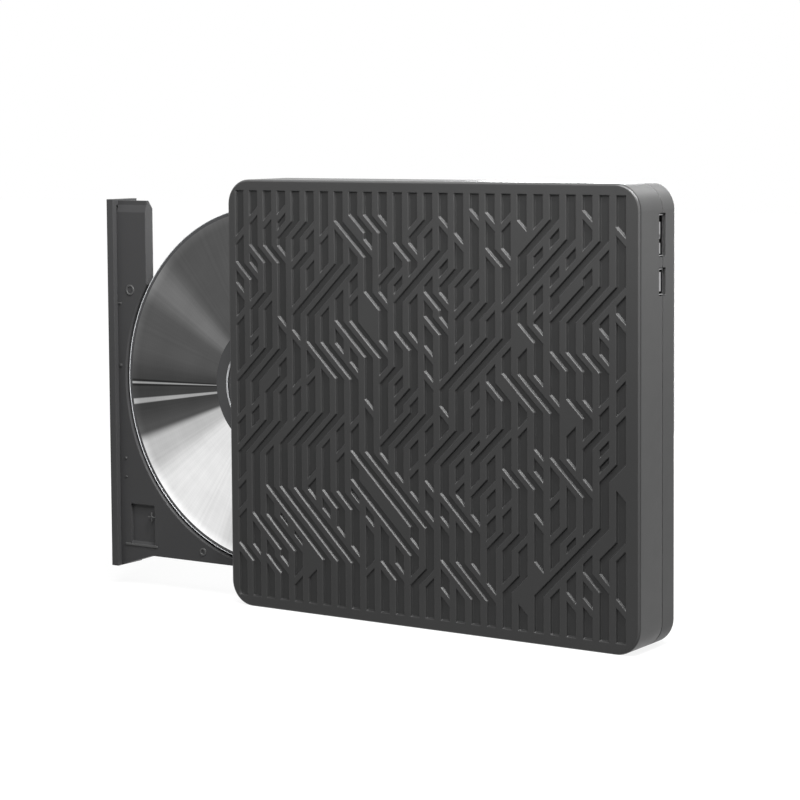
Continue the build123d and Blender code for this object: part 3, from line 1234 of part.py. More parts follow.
def pickup_sled():
    """The pickup's body, bored for one rod, forked round the other, with the nut arm."""
    lens_x = DISC_X - LENS_START
    x0, x1 = lens_x - SLED_OUTWARD, lens_x + SLED_INWARD
    low, high = DISC_Z - ROD_OFFSET, DISC_Z + ROD_OFFSET
    sled = block(x0, x1, -1.6, 1.6, low - 2.6, high)
    sled -= rod(ROD_Y, low, ROD_RADIUS + 0.08, x0 - 1, x1 + 1)
    for y0, y1 in ((-1.6, ROD_Y - ROD_RADIUS - 0.1), (ROD_Y + ROD_RADIUS + 0.1, 1.6)):
        sled += block(x0 + 3, x1 - 3, y0, y1, high - 1, high + 1.6)
    sled -= rod(ROD_Y, high, ROD_RADIUS + 0.1, x0 - 1, x1 + 1)
    sled -= block(x0 - 1, x1 + 1, ROD_Y - ROD_RADIUS - 0.1, ROD_Y + ROD_RADIUS + 0.1, high, high + 3)
    arm = block(lens_x + 2, lens_x + 6, -1.8, 1.4, SCREW_Z - 1.9, low - 2.4)
    return sled + arm - rod(ROD_Y, SCREW_Z, ROD_RADIUS + 0.15, lens_x, lens_x + 8)


def lens_holder():
    """The moving block that carries the lens."""
    lens_x = DISC_X - LENS_START
    top = TRAVERSE_COVER_Y + TRAVERSE_COVER_SHEET + 0.3
    holder = block(lens_x - 3.3, lens_x + 4.2, top, -1.6, DISC_Z - 4.5, DISC_Z + 4.5)
    holder += post(lens_x, DISC_Z, 3.2, TRAVERSE_COVER_Y - 0.1, top + 0.1)
    return holder - post(lens_x, DISC_Z, LENS_RADIUS, TRAVERSE_COVER_Y - 1, -2.4)


def objective_lens():
    """The lens that reads the disc, domed on both sides."""
    lens_x = DISC_X - LENS_START
    body = post(lens_x, DISC_Z, LENS_RADIUS - 0.02, TRAVERSE_COVER_Y, -2.5)
    dome = Pos(lens_x, TRAVERSE_COVER_Y + 3.6, DISC_Z) * Sphere(3.9)
    cap = dome & post(lens_x, DISC_Z, LENS_RADIUS - 0.5, TRAVERSE_COVER_Y - 1, TRAVERSE_COVER_Y + 0.1)
    return body + cap


def lead_screw():
    """The screw that drives the pickup."""
    return rod(ROD_Y, SCREW_Z, ROD_RADIUS, DISC_X - LEAD_SCREW_REACH - 0.5, DISC_X + 0.1)


FIXED = [
    top_cover, bottom_cover, rubber_feet, case_screws, drive_mount_screws, foam_pads,
    bridge_board, bridge_chips, bridge_board_screws, usb_port_shell, usb_port_tongue,
    power_port_shell, power_port_tongue, bridge_socket, drive_pan, drive_lid, lid_screws,
    connector_board, drive_plug, flat_cable, latch_post,
]
ON_TRAY = [
    tray, bezel, eject_button, led_window, eject_switch, tray_board, tray_chips,
    tray_bottom_cover, tray_screws, traverse_chassis, traverse_cover, dampers, damper_screws,
    motor_stator, sled_motor, latch_solenoid, latch_pivot, latch_lever, rotor_cup,
    spindle_shaft, turntable, turntable_pad, clamp_jaws, disc, disc_mirror, pickup_sled,
    lens_holder, objective_lens, lead_screw,
]


def all_parts():
    """Every sub-part in its place, with the tray part way out."""
    parts = {make.__name__: make() for make in FIXED}
    for make in ON_TRAY:
        parts[make.__name__] = shift_out(make())
    parts["main_guide_rod"] = shift_out(guide_rod(-1))
    parts["second_guide_rod"] = shift_out(guide_rod(1))
    parts["lower_rail_guide"] = rail_guide(True)
    parts["upper_rail_guide"] = rail_guide(False)
    parts["lower_rail"] = shift_out(rail(True), TRAY_OUT / 2)
    parts["upper_rail"] = shift_out(rail(False), TRAY_OUT / 2)
    return parts


os.makedirs("parts", exist_ok=True)
for name, shape in all_parts().items():
    export_step(shape, f"parts/{name}.step")
    print(name, len(shape.solids()), round(shape.volume, 1))
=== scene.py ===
# %% [markdown]
# This lesson dresses an external DVD drive. It stands on its long narrow edge, with the tray part
# way out and a disc on it. The solids come from the CAD frame, and Blender gives them their
# finishes and the small detail that a drawing leaves out. Everything is in metres.

# %% Load the frame
import json
import math

import bmesh
import bpy
from mathutils import Matrix, Vector


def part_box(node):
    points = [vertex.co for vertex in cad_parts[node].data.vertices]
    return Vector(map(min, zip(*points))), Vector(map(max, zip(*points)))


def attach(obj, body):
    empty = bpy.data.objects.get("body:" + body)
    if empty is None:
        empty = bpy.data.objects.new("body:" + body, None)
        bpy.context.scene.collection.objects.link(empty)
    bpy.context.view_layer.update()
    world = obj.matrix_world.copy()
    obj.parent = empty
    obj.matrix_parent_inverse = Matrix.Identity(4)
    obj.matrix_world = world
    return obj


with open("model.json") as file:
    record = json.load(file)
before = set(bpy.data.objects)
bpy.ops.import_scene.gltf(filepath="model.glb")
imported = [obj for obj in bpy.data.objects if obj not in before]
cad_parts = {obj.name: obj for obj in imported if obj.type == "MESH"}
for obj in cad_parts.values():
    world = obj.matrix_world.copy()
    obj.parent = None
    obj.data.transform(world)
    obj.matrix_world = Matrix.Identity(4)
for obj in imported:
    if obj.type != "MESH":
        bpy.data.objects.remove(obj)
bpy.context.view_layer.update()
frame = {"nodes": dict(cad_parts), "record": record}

nodes = frame["nodes"]
print("nodes in the frame:", len(nodes))

# %% [markdown]
# The camera stands low, in front and to the right, so that the patterned face and the narrow side
# with the sockets both show. Its place and turn were fitted to the photograph's corners. The lens
# shift lowers the picture without making the uprights lean.

# %% Place the camera
CAMERA_PLACE = Vector((0.41225, -0.63814, 0.16168))
CAMERA_YAW = 0.591290
CAMERA_PITCH = 0.0756331
CAMERA_ROLL = -0.0067304
CAMERA_LENS = 107.83
CAMERA_SENSOR = 36.0
CAMERA_SHIFT = -0.125
CAMERA_CLIP = (0.01, 20.0)


def place_camera():
    """Makes the camera, looking along its yaw and pitch and turned by its roll."""
    ahead = Vector(
        (
            -math.sin(CAMERA_YAW) * math.cos(CAMERA_PITCH),
            math.cos(CAMERA_YAW) * math.cos(CAMERA_PITCH),
            -math.sin(CAMERA_PITCH),
        )
    )
    right = Vector((math.cos(CAMERA_YAW), math.sin(CAMERA_YAW), 0.0))
    above = right.cross(ahead)
    across = right * math.cos(CAMERA_ROLL) + above * math.sin(CAMERA_ROLL)
    upward = above * math.cos(CAMERA_ROLL) - right * math.sin(CAMERA_ROLL)
    data = bpy.data.cameras.new("camera")
    data.lens = CAMERA_LENS
    data.sensor_width = CAMERA_SENSOR
    data.shift_y = CAMERA_SHIFT
    data.clip_start, data.clip_end = CAMERA_CLIP
    camera = bpy.data.objects.new("camera", data)
    turn = Matrix((across, upward, -ahead)).transposed().to_4x4()
    camera.matrix_world = Matrix.Translation(CAMERA_PLACE) @ turn
    bpy.context.scene.collection.objects.link(camera)
    bpy.context.scene.camera = camera
    return camera


print("camera at", tuple(place_camera().location))

# %% [markdown]
# Every finish below is a small tree of shader nodes. These helpers add a node, join its inputs and
# start a group or a material, so that the cells that follow read as a list of what the finish is
# made of.

# %% Helpers that build node trees
def add(tree, kind, inputs=None, **settings):
    """Adds a node, sets its options, and joins or fills its inputs."""
    node = tree.nodes.new(kind)
    for name, value in settings.items():
        setattr(node, name, value)
    for key, value in (inputs or {}).items():
        if isinstance(value, bpy.types.NodeSocket):
            tree.links.new(value, node.inputs[key])
        else:
            node.inputs[key].default_value = value
    return node


def start_material(name):
    """Makes a material and returns it with its tree and its shader."""
    material = bpy.data.materials.new(name)
    material.use_nodes = True
    tree = material.node_tree
    return material, tree, tree.nodes["Principled BSDF"]


def start_group(name, inputs, outputs):
    """Starts a shader group with named sockets and returns its tree, its inputs and its end."""
    tree = bpy.data.node_groups.new(name, "ShaderNodeTree")
    for title, kind in inputs:
        tree.interface.new_socket(title, in_out="INPUT", socket_type=kind)
    for title, kind in outputs:
        tree.interface.new_socket(title, in_out="OUTPUT", socket_type=kind)
    start = tree.nodes.new("NodeGroupInput")
    end = tree.nodes.new("NodeGroupOutput")
    return tree, start.outputs, end


def use_group(tree, group, inputs):
    """Places a group in a material with its own values."""
    return add(tree, "ShaderNodeGroup", inputs, node_tree=group)


print("helpers that build trees:", add.__name__, start_material.__name__, start_group.__name__)

# %% [markdown]
# A finish changes from point to point, so most of its nodes are arithmetic on where a point lies.
# These helpers each add one such step. All of them work in object coordinates, which go with a part
# when its joint moves, so that no pattern slides over a surface.

# %% Helpers that calculate
def calc(tree, operation, first, second=0.0, clamp=False):
    """One step of arithmetic on values."""
    node = add(tree, "ShaderNodeMath", {0: first, 1: second}, operation=operation, use_clamp=clamp)
    return node.outputs[0]


def remap(tree, value, low, high, new_low, new_high, shape="LINEAR"):
    """Maps a value from one span to another, clamped."""
    node = add(
        tree,
        "ShaderNodeMapRange",
        {"Value": value, "From Min": low, "From Max": high, "To Min": new_low, "To Max": new_high},
        interpolation_type=shape,
    )
    return node.outputs[0]


def object_place(tree):
    """Where a point lies in its object."""
    return add(tree, "ShaderNodeTexCoord").outputs["Object"]


def split(tree, vector):
    """The X, Y and Z parts of a vector."""
    return add(tree, "ShaderNodeSeparateXYZ", {0: vector}).outputs


def noise(tree, place, scale, detail):
    """A soft random value that changes with the place and wanders about a half."""
    node = add(tree, "ShaderNodeTexNoise", {"Vector": place, "Scale": scale, "Detail": detail})
    return node.outputs["Fac"]


def line_noise(tree, value, detail):
    """The same along one value instead of a place."""
    node = add(tree, "ShaderNodeTexNoise", {"W": value, "Detail": detail}, noise_dimensions="1D")
    return node.outputs["Fac"]


def product(tree, *values):
    """Multiplies two values or more."""
    total = values[0]
    for value in values[1:]:
        total = calc(tree, "MULTIPLY", total, value)
    return total


print("helpers that calculate:", calc.__name__, remap.__name__, noise.__name__, product.__name__)

# %% [markdown]
# The drive is charcoal, steel and clear plastic, so nearly every colour here is a grey. A colour
# may be blended with another, made a little lighter as a painted highlight on its edges, or darker.

# %% Helpers for colours
def grey(level, tint=0.0):
    """A grey of that level, a little blue with a tint above nothing."""
    return (level, level, level * (1.0 + tint), 1.0)


def scaled(colour, factor):
    """A colour made lighter or darker, with no part above one."""
    return tuple(min(1.0, part * factor) for part in colour[:3]) + (1.0,)


def blend_colours(tree, factor, first, second):
    """Mixes two colours by a factor."""
    return add(tree, "ShaderNodeMix", {0: factor, 6: first, 7: second}, data_type="RGBA").outputs[2]


print("a grey:", grey(0.05), "and its edge:", scaled(grey(0.05), 2.0))

# %% [markdown]
# Moulded plastic is never one flat colour. The mould is spark-eroded, which leaves a fine grain
# that scatters the light, and the colour and the shine wander a little over a hand's width. A
# picture of grain would need unwrapping and would blur close up, and a noise needs neither. One
# group does this for every plastic here, with its own depth and grain in each.

# %% Group: moulded grain
NOISE_MIDDLE = 0.5
DRIFT_SCALE = 22.0
DRIFT_SHARE = 1.4
FLECK_SHARE = 0.8
SHINE_SCALE = 160.0


def make_grain_group():
    """Colour, roughness and height of a moulded surface."""
    tree, given, end = start_group(
        "moulded_grain",
        [
            ("Colour", "NodeSocketColor"),
            ("Grain Scale", "NodeSocketFloat"),
            ("Mottle", "NodeSocketFloat"),
            ("Roughness", "NodeSocketFloat"),
            ("Roughness Spread", "NodeSocketFloat"),
        ],
        [("Colour", "NodeSocketColor"), ("Roughness", "NodeSocketFloat"), ("Height", "NodeSocketFloat")],
    )
    place = object_place(tree)
    grain = noise(tree, place, given["Grain Scale"], 3.0)
    swing = calc(tree, "SUBTRACT", noise(tree, place, DRIFT_SCALE, 4.0), NOISE_MIDDLE)
    fleck = calc(tree, "SUBTRACT", grain, NOISE_MIDDLE)
    total = calc(tree, "ADD", product(tree, swing, DRIFT_SHARE), product(tree, fleck, FLECK_SHARE))
    gain = calc(tree, "ADD", product(tree, total, given["Mottle"]), 1.0)
    colour = add(tree, "ShaderNodeVectorMath", {0: given["Colour"], 3: gain}, operation="SCALE")
    wander = calc(tree, "SUBTRACT", noise(tree, place, SHINE_SCALE, 5.0), NOISE_MIDDLE)
    rough = calc(tree, "ADD", given["Roughness"], product(tree, wander, given["Roughness Spread"]))
    tree.links.new(colour.outputs[0], end.inputs["Colour"])
    tree.links.new(rough, end.inputs["Roughness"])
    tree.links.new(grain, end.inputs["Height"])
    return tree


GRAIN = make_grain_group()
print("group:", GRAIN.name)

# %% [markdown]
# The case's face ends in a rounded edge all the way round, made smoother and painted lighter as a
# highlight.
# The relief's grooves have slanted walls too, so a finish that looks for slanted faces has to know
# how far a point is from the case's outline. Seen from the front, that is a rectangle with round
# corners, and a few steps of arithmetic measure the distance to it.

# %% Distance from the case's outline
CASE_HALF_WIDTH = 0.077
CASE_HALF_HEIGHT = 0.071
CASE_CORNER = 0.0082


def outline_distance(tree, place):
    """How far a point lies outside the case's rounded outline, less than nothing inside it."""
    parts = split(tree, place)
    side = calc(tree, "SUBTRACT", calc(tree, "ABSOLUTE", parts["X"]), CASE_HALF_WIDTH - CASE_CORNER)
    height = calc(tree, "ABSOLUTE", calc(tree, "SUBTRACT", parts["Z"], CASE_HALF_HEIGHT))
    rise = calc(tree, "SUBTRACT", height, CASE_HALF_HEIGHT - CASE_CORNER)
    spread = add(
        tree,
        "ShaderNodeCombineXYZ",
        {"X": calc(tree, "MAXIMUM", side, 0.0), "Y": calc(tree, "MAXIMUM", rise, 0.0)},
    )
    reach = add(tree, "ShaderNodeVectorMath", {0: spread.outputs[0]}, operation="LENGTH")
    return calc(tree, "SUBTRACT", reach.outputs["Value"], CASE_CORNER)


print("outline:", CASE_HALF_WIDTH * 2, "by", CASE_HALF_HEIGHT * 2, "with corners of", CASE_CORNER)

# %% [markdown]
# Edges catch light first. The mould's sharp corners are a little worn and smooth, so they are made
# smoother here, and their colour is lightened beside the grain as a painted highlight. Real bevels
# would catch the light for real, but a CAD mesh keeps its shape here. Blender's Bevel node rounds
# only the normal near an edge, and how far it turns from the true one tells how near the edge is.

# %% Group: bright edges
BEVEL_SAMPLES = 6
TURN_START, TURN_FULL = 0.995, 0.85
WEAR_AND_SHEEN_SCALE = 260.0
WEAR_AND_SHEEN_LOW, WEAR_AND_SHEEN_HIGH = 0.3, 0.6
WEAR_AND_SHEEN_LEAST = 0.45
SLANT_START, SLANT_FULL = 0.3, 0.5
FLAT_START, FLAT_FULL = 0.93, 0.99
BORDER_START, BORDER_FULL = -0.0024, -0.0018


def make_edge_group():
    """Paints a highlight by lightening a colour, and smooths a surface, near its sharp edges and on the
    face's rounded edge.
    """
    tree, given, end = start_group(
        "edge_wear_and_painted_highlight",
        [
            ("Colour", "NodeSocketColor"),
            ("Highlight Colour", "NodeSocketColor"),
            ("Roughness", "NodeSocketFloat"),
            ("Edge Roughness", "NodeSocketFloat"),
            ("Width", "NodeSocketFloat"),
            ("Strength", "NodeSocketFloat"),
            ("Fillet Strength", "NodeSocketFloat"),
        ],
        [("Colour", "NodeSocketColor"), ("Roughness", "NodeSocketFloat"), ("Normal", "NodeSocketVector")],
    )
    rounded = add(tree, "ShaderNodeBevel", {"Radius": given["Width"]}, samples=BEVEL_SAMPLES)
    flat = add(tree, "ShaderNodeNewGeometry").outputs["Normal"]
    likeness = add(tree, "ShaderNodeVectorMath", {0: rounded.outputs[0], 1: flat}, operation="DOT_PRODUCT")
    turned = remap(tree, likeness.outputs["Value"], TURN_START, TURN_FULL, 0.0, 1.0)
    place = object_place(tree)
    patchy = remap(tree, noise(tree, place, WEAR_AND_SHEEN_SCALE, 3.0), WEAR_AND_SHEEN_LOW, WEAR_AND_SHEEN_HIGH, WEAR_AND_SHEEN_LEAST, 1.0)
    sharp = calc(tree, "MULTIPLY", product(tree, turned, patchy), given["Strength"], clamp=True)
    facing = calc(tree, "ABSOLUTE", split(tree, flat)["Y"])
    slanted = remap(tree, facing, SLANT_START, SLANT_FULL, 0.0, 1.0)
    not_flat = remap(tree, facing, FLAT_START, FLAT_FULL, 1.0, 0.0)
    outermost = remap(tree, outline_distance(tree, place), BORDER_START, BORDER_FULL, 0.0, 1.0)
    border = product(tree, slanted, not_flat, outermost)
    mask = calc(tree, "MAXIMUM", sharp, product(tree, border, given["Fillet Strength"]))
    # Painted highlight: the mask lightens the colour towards the highlight colour.
    colour = blend_colours(tree, mask, given["Colour"], given["Highlight Colour"])
    drop = calc(tree, "SUBTRACT", given["Edge Roughness"], given["Roughness"])
    rough = calc(tree, "ADD", given["Roughness"], product(tree, drop, mask))
    tree.links.new(colour, end.inputs["Colour"])
    tree.links.new(rough, end.inputs["Roughness"])
    tree.links.new(rounded.outputs[0], end.inputs["Normal"])
    return tree


EDGES = make_edge_group()
print("group:", EDGES.name)

# %% [markdown]
# The face's relief is cut into the plastic as real grooves. Their floors are a darker grey than the
# ribs, as painted shade in the grooves. Depth alone tells ribs from floors, and behind the face the
# plastic takes the lighter grey of the case's sides.

# %% Shade in the grooves
FACE_Y = -0.0115
GROOVE_DEPTH = 0.0007
RIB_SKIN = 0.00008
FLOOR_SKIN = 0.00005
SIDE_START, SIDE_FULL = 0.0001, 0.0005


def groove_painted_shade(tree, ribs, floors, sides):
    """The ribs' colour at the face, the floors' darker colour in the grooves as painted shade, and the
    sides' colour behind them.
    """
    across = split(tree, object_place(tree))["Y"]
    floor_y = FACE_Y + GROOVE_DEPTH
    depth = remap(tree, across, FACE_Y + RIB_SKIN, floor_y - FLOOR_SKIN, 0.0, 1.0)
    behind = remap(tree, across, floor_y + SIDE_START, floor_y + SIDE_FULL, 0.0, 1.0)
    return blend_colours(tree, behind, blend_colours(tree, depth, ribs, floors), sides)


print("grooves from Y", FACE_Y, "to", FACE_Y + GROOVE_DEPTH)

# %% [markdown]
# Two halves of a case never meet without a hairline, and no light gets into it. It is a few tenths
# of a millimetre wide, so the plastic darkens there and needs no cut. The walls of the two port
# windows lie close round the steel of the ports and get little light either, so they darken too.

# %% Shade in the seam and round the ports
SEAM_Y = 0.003
SEAM_HALF = 0.0002
SEAM_SOFT = 0.6
SEAM_GREY = grey(0.004)
PORT_MARGIN = 0.00037
PORT_SOFT = 0.0001
PORT_DEPTH_X = 0.0762
PORT_GREY = grey(0.006)
PORT_SHELLS = ("usb_port_shell", "power_port_shell")


def seam_shade(tree, colour):
    """Darkens the line where the two halves of the case meet."""
    across = split(tree, object_place(tree))["Y"]
    away = calc(tree, "ABSOLUTE", calc(tree, "SUBTRACT", across, SEAM_Y))
    beside = remap(tree, away, SEAM_HALF * SEAM_SOFT, SEAM_HALF, 0.0, 1.0)
    return blend_colours(tree, beside, SEAM_GREY, colour)


def port_shade(tree, colour):
    """Darkens the walls of the two port windows, where no light gets in."""
    parts = split(tree, object_place(tree))
    inside = calc(tree, "GREATER_THAN", parts["X"], PORT_DEPTH_X)
    for shell in PORT_SHELLS:
        low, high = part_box(shell)
        gaps = []
        for axis, name in ((1, "Y"), (2, "Z")):
            middle, half = (low[axis] + high[axis]) / 2, (high[axis] - low[axis]) / 2
            away = calc(tree, "ABSOLUTE", calc(tree, "SUBTRACT", parts[name], middle))
            gaps.append(calc(tree, "SUBTRACT", away, half))
        outside = calc(tree, "MAXIMUM", *gaps)
        window = product(tree, remap(tree, outside, PORT_MARGIN, PORT_MARGIN + PORT_SOFT, 1.0, 0.0), inside)
        colour = blend_colours(tree, window, colour, PORT_GREY)
    return colour


print("seam at Y", SEAM_Y, "and windows round", PORT_SHELLS)

# %% [markdown]
# The plastics of the case, the tray, the bezel and the small parts inside are one finish at several
# greys: grain first, then edges with a painted highlight, and a bump from the grain's height. The face
# is satin, with a grain of about a fifth of a millimetre. Rubber and foam are the same finish, only
# rougher.

# %% Finish: moulded plastics
HIGHLIGHT_LIFT = 2.2
EDGE_SMOOTHNESS = 0.38
ROUGHNESS_SPREAD = 0.15
GRAIN_BUMP = 0.6


def moulded_plastic(name, colour, roughness=0.5, grain=5200.0, depth=0.00002, mottle=0.25, edge=0.5,
                    highlight_colour=None, width=0.0003, gloss=0.15, floors=None, sides=None, fillet=0.0):
    """A moulded plastic with its grain, its rounded edges with a painted highlight, and painted shade in
    its grooves, seam and port windows.
    """
    material, tree, shader = start_material(name)
    # Painted highlight: the edges and the face's rounded edge are lightened towards this colour.
    edge_highlight = highlight_colour or scaled(colour, HIGHLIGHT_LIFT)
    # Painted shade: the groove floors get a darker grey.
    if floors:
        colour = groove_painted_shade(tree, colour, floors, sides)
    if sides:
        colour = port_shade(tree, seam_shade(tree, colour))
    surface = use_group(
        tree,
        GRAIN,
        {
            "Colour": colour,
            "Grain Scale": grain,
            "Mottle": mottle,
            "Roughness": roughness,
            "Roughness Spread": ROUGHNESS_SPREAD,
        },
    )
    edged = use_group(
        tree,
        EDGES,
        {
            "Colour": surface.outputs["Colour"],
            "Highlight Colour": edge_highlight,
            "Roughness": surface.outputs["Roughness"],
            "Edge Roughness": roughness * EDGE_SMOOTHNESS,
            "Width": width,
            "Strength": edge,
            "Fillet Strength": fillet,
        },
    )
    bump = add(
        tree,
        "ShaderNodeBump",
        {
            "Height": surface.outputs["Height"],
            "Distance": depth,
            "Strength": GRAIN_BUMP,
            "Normal": edged.outputs["Normal"],
        },
    )
    tree.links.new(edged.outputs["Colour"], shader.inputs["Base Color"])
    tree.links.new(edged.outputs["Roughness"], shader.inputs["Roughness"])
    tree.links.new(bump.outputs["Normal"], shader.inputs["Normal"])
    shader.inputs["Specular IOR Level"].default_value = gloss
    return material


print("finish ready:", moulded_plastic.__name__)

# %% [markdown]
# Sheet steel, rails and rods are drawn or rolled, which leaves fine lines along their length. A
# noise that is stretched along one direction gives those lines to the colour and to the shine, and
# unlike a picture of brushed metal it needs no unwrapping. The steel of a port lies in a deep slot,
# so its colour is darkened inwards from its mouth as painted shade.

# %% Finish: worked metals
LINE_DETAIL = 6.0
LINE_DEPTH = 0.000008
LINE_BUMP = 0.5
CLOUD_SCALE = 70.0
METAL_STREAKS = 0.2
METAL_SPREAD = 0.2
MOUTH_START, MOUTH_FULL = 0.0001, 0.0008
MOUTH_LEAST = 0.03


def worked_metal(name, colour, roughness=0.3, stretch=(12.0, 900.0, 900.0), mouth=None):
    """A metal with fine lines along one axis, whose colour is darkened inwards from a mouth as painted
    shade where it has one.
    """
    material, tree, shader = start_material(name)
    place = object_place(tree)
    drawn = add(tree, "ShaderNodeMapping", {"Vector": place, "Scale": stretch})
    lines = noise(tree, drawn.outputs[0], 1.0, LINE_DETAIL)
    swing = calc(tree, "SUBTRACT", lines, NOISE_MIDDLE)
    haze = calc(tree, "SUBTRACT", noise(tree, place, CLOUD_SCALE, 3.0), NOISE_MIDDLE)
    gain = calc(tree, "ADD", product(tree, calc(tree, "ADD", swing, haze), METAL_STREAKS), 1.0)
    # Painted shade: the colour darkens inwards from the mouth.
    if mouth:
        along = split(tree, place)["X"]
        depth_shade = remap(tree, along, mouth - MOUTH_FULL, mouth - MOUTH_START, MOUTH_LEAST, 1.0)
        gain = product(tree, gain, depth_shade)
    tone = add(tree, "ShaderNodeVectorMath", {0: colour[:3], 3: gain}, operation="SCALE")
    rough = calc(tree, "ADD", product(tree, swing, METAL_SPREAD), roughness, clamp=True)
    bump = add(tree, "ShaderNodeBump", {"Height": lines, "Distance": LINE_DEPTH, "Strength": LINE_BUMP})
    tree.links.new(tone.outputs[0], shader.inputs["Base Color"])
    tree.links.new(rough, shader.inputs["Roughness"])
    tree.links.new(bump.outputs["Normal"], shader.inputs["Normal"])
    shader.inputs["Metallic"].default_value = 1.0
    return material


print("finish ready:", worked_metal.__name__)

# %% [markdown]
# The disc's bright layer is a spiral of very fine grooves, so light fans out into beams that run
# from the hub to the rim. A renderer that traces rays can't make them, so they are painted by the
# angle round the hub: soft beams, two thin bright streaks with their shadows, and one wide fan. Rings
# that are a little lighter and darker show where tracks were written.

# %% Finish: the disc's bright layer
DISC_CENTRE = Vector((-0.065, -0.0055, 0.073))
MIRROR_OUTER = 0.0587
MIRROR_ROUGHNESS = 0.3
METAL_GREY = 0.09
RIM_WIDTH = 0.003
RIM_GAIN = 1.35
TRACKS_PER_METRE = 900.0
RAYS_PER_TURN = 44.0
DISC_CLOUD_SCALE = 90.0
NOISE_LOW, NOISE_HIGH = 0.3, 0.7

# Each beam has its angle round the hub, half the width of its even core and the width of its soft
# side, all in degrees, and what it adds to the metal's grey. Those that take grey away are shadows.
BEAMS = (
    (144, 1, 10, 0.08),
    (185, 4, 14, -0.04),
    (181.5, 0.9, 0.6, -0.03),
    (181.5, 0.1, 0.5, 0.32),
    (188, 0.6, 0.6, 0.33),
    (229, 26, 4, 0.42),
    (232, 14, 10, 0.25),
    (290, 28, 12, 0.22),
)


def beam_level(tree, turn):
    """The metal's grey at a part of a turn round the hub."""
    degrees = product(tree, turn, 360.0)
    level = METAL_GREY
    for centre, core, soft, gain in BEAMS:
        away = calc(tree, "ABSOLUTE", calc(tree, "SUBTRACT", degrees, centre))
        level = calc(tree, "ADD", remap(tree, away, core, core + soft, gain, 0.0, "SMOOTHSTEP"), level)
    return level


def disc_layer(name):
    """Bright metal that fans light into beams round the hub."""
    material, tree, shader = start_material(name)
    place = object_place(tree)
    spoke = add(tree, "ShaderNodeVectorMath", {0: place, 1: tuple(DISC_CENTRE)}, operation="SUBTRACT")
    parts = split(tree, spoke.outputs[0])
    angle = calc(tree, "ARCTAN2", parts["Z"], parts["X"])
    turn = calc(tree, "FRACT", calc(tree, "DIVIDE", angle, 2 * math.pi))
    flat = add(tree, "ShaderNodeCombineXYZ", {"X": parts["X"], "Z": parts["Z"]})
    radius = add(tree, "ShaderNodeVectorMath", {0: flat.outputs[0]}, operation="LENGTH").outputs["Value"]
    tracks = line_noise(tree, product(tree, radius, TRACKS_PER_METRE), 2.0)
    rays = line_noise(tree, product(tree, turn, RAYS_PER_TURN), 2.5)
    cloud = noise(tree, place, DISC_CLOUD_SCALE, 4.0)
    shade = product(
        tree,
        beam_level(tree, turn),
        remap(tree, tracks, NOISE_LOW, NOISE_HIGH, 0.95, 1.04),
        # Painted highlight: the bright layer is lighter in a band just inside its outer edge.
        remap(tree, radius, MIRROR_OUTER - RIM_WIDTH, MIRROR_OUTER, 1.0, RIM_GAIN),
        remap(tree, rays, NOISE_LOW, NOISE_HIGH, 0.955, 1.03),
        remap(tree, cloud, NOISE_LOW, NOISE_HIGH, 0.94, 1.06),
    )
    tone = add(tree, "ShaderNodeVectorMath", {0: (1.0, 1.0, 1.0), 3: shade}, operation="SCALE")
    tree.links.new(tone.outputs[0], shader.inputs["Base Color"])
    shader.inputs["Metallic"].default_value = 1.0
    shader.inputs["Roughness"].default_value = MIRROR_ROUGHNESS
    return material


print("the disc's bright layer has", len(BEAMS), "beams and shadows")

# %% [markdown]
# The disc's own plastic, its beads, the lens and the window are clear plastic finishes. Where the disc
# has no bright layer, round its hole, one looks through it into the dark tray, so that plastic is
# painted dark and lets little light through, as painted shade for the tray seen through it. The beads
# are pale and let little light through, as a painted highlight. The lens and the window are nearly pure
# glass with a faint haze.

# %% Finish: clear plastics
HAZE_SCALE = 300.0
HAZE_SPREAD = 0.06
HAZE_TONE = 0.9
PLASTIC_IOR = 1.49


def clear_plastic(name, colour, roughness=0.03, weight=0.9):
    """Clear moulded plastic with a faint haze."""
    material, tree, shader = start_material(name)
    haze = noise(tree, object_place(tree), HAZE_SCALE, 3.0)
    rough = remap(tree, haze, NOISE_LOW, NOISE_HIGH, roughness, roughness + HAZE_SPREAD)
    tone = blend_colours(tree, haze, colour, scaled(colour, HAZE_TONE))
    tree.links.new(tone, shader.inputs["Base Color"])
    tree.links.new(rough, shader.inputs["Roughness"])
    shader.inputs["Transmission Weight"].default_value = weight
    shader.inputs["IOR"].default_value = PLASTIC_IOR
    return material


print("finish ready:", clear_plastic.__name__)

# %% [markdown]
# Each material slot of the record gets its finish here, and every CAD node is painted with the
# finish of its slot. A CAD node keeps its mesh: only its material changes.

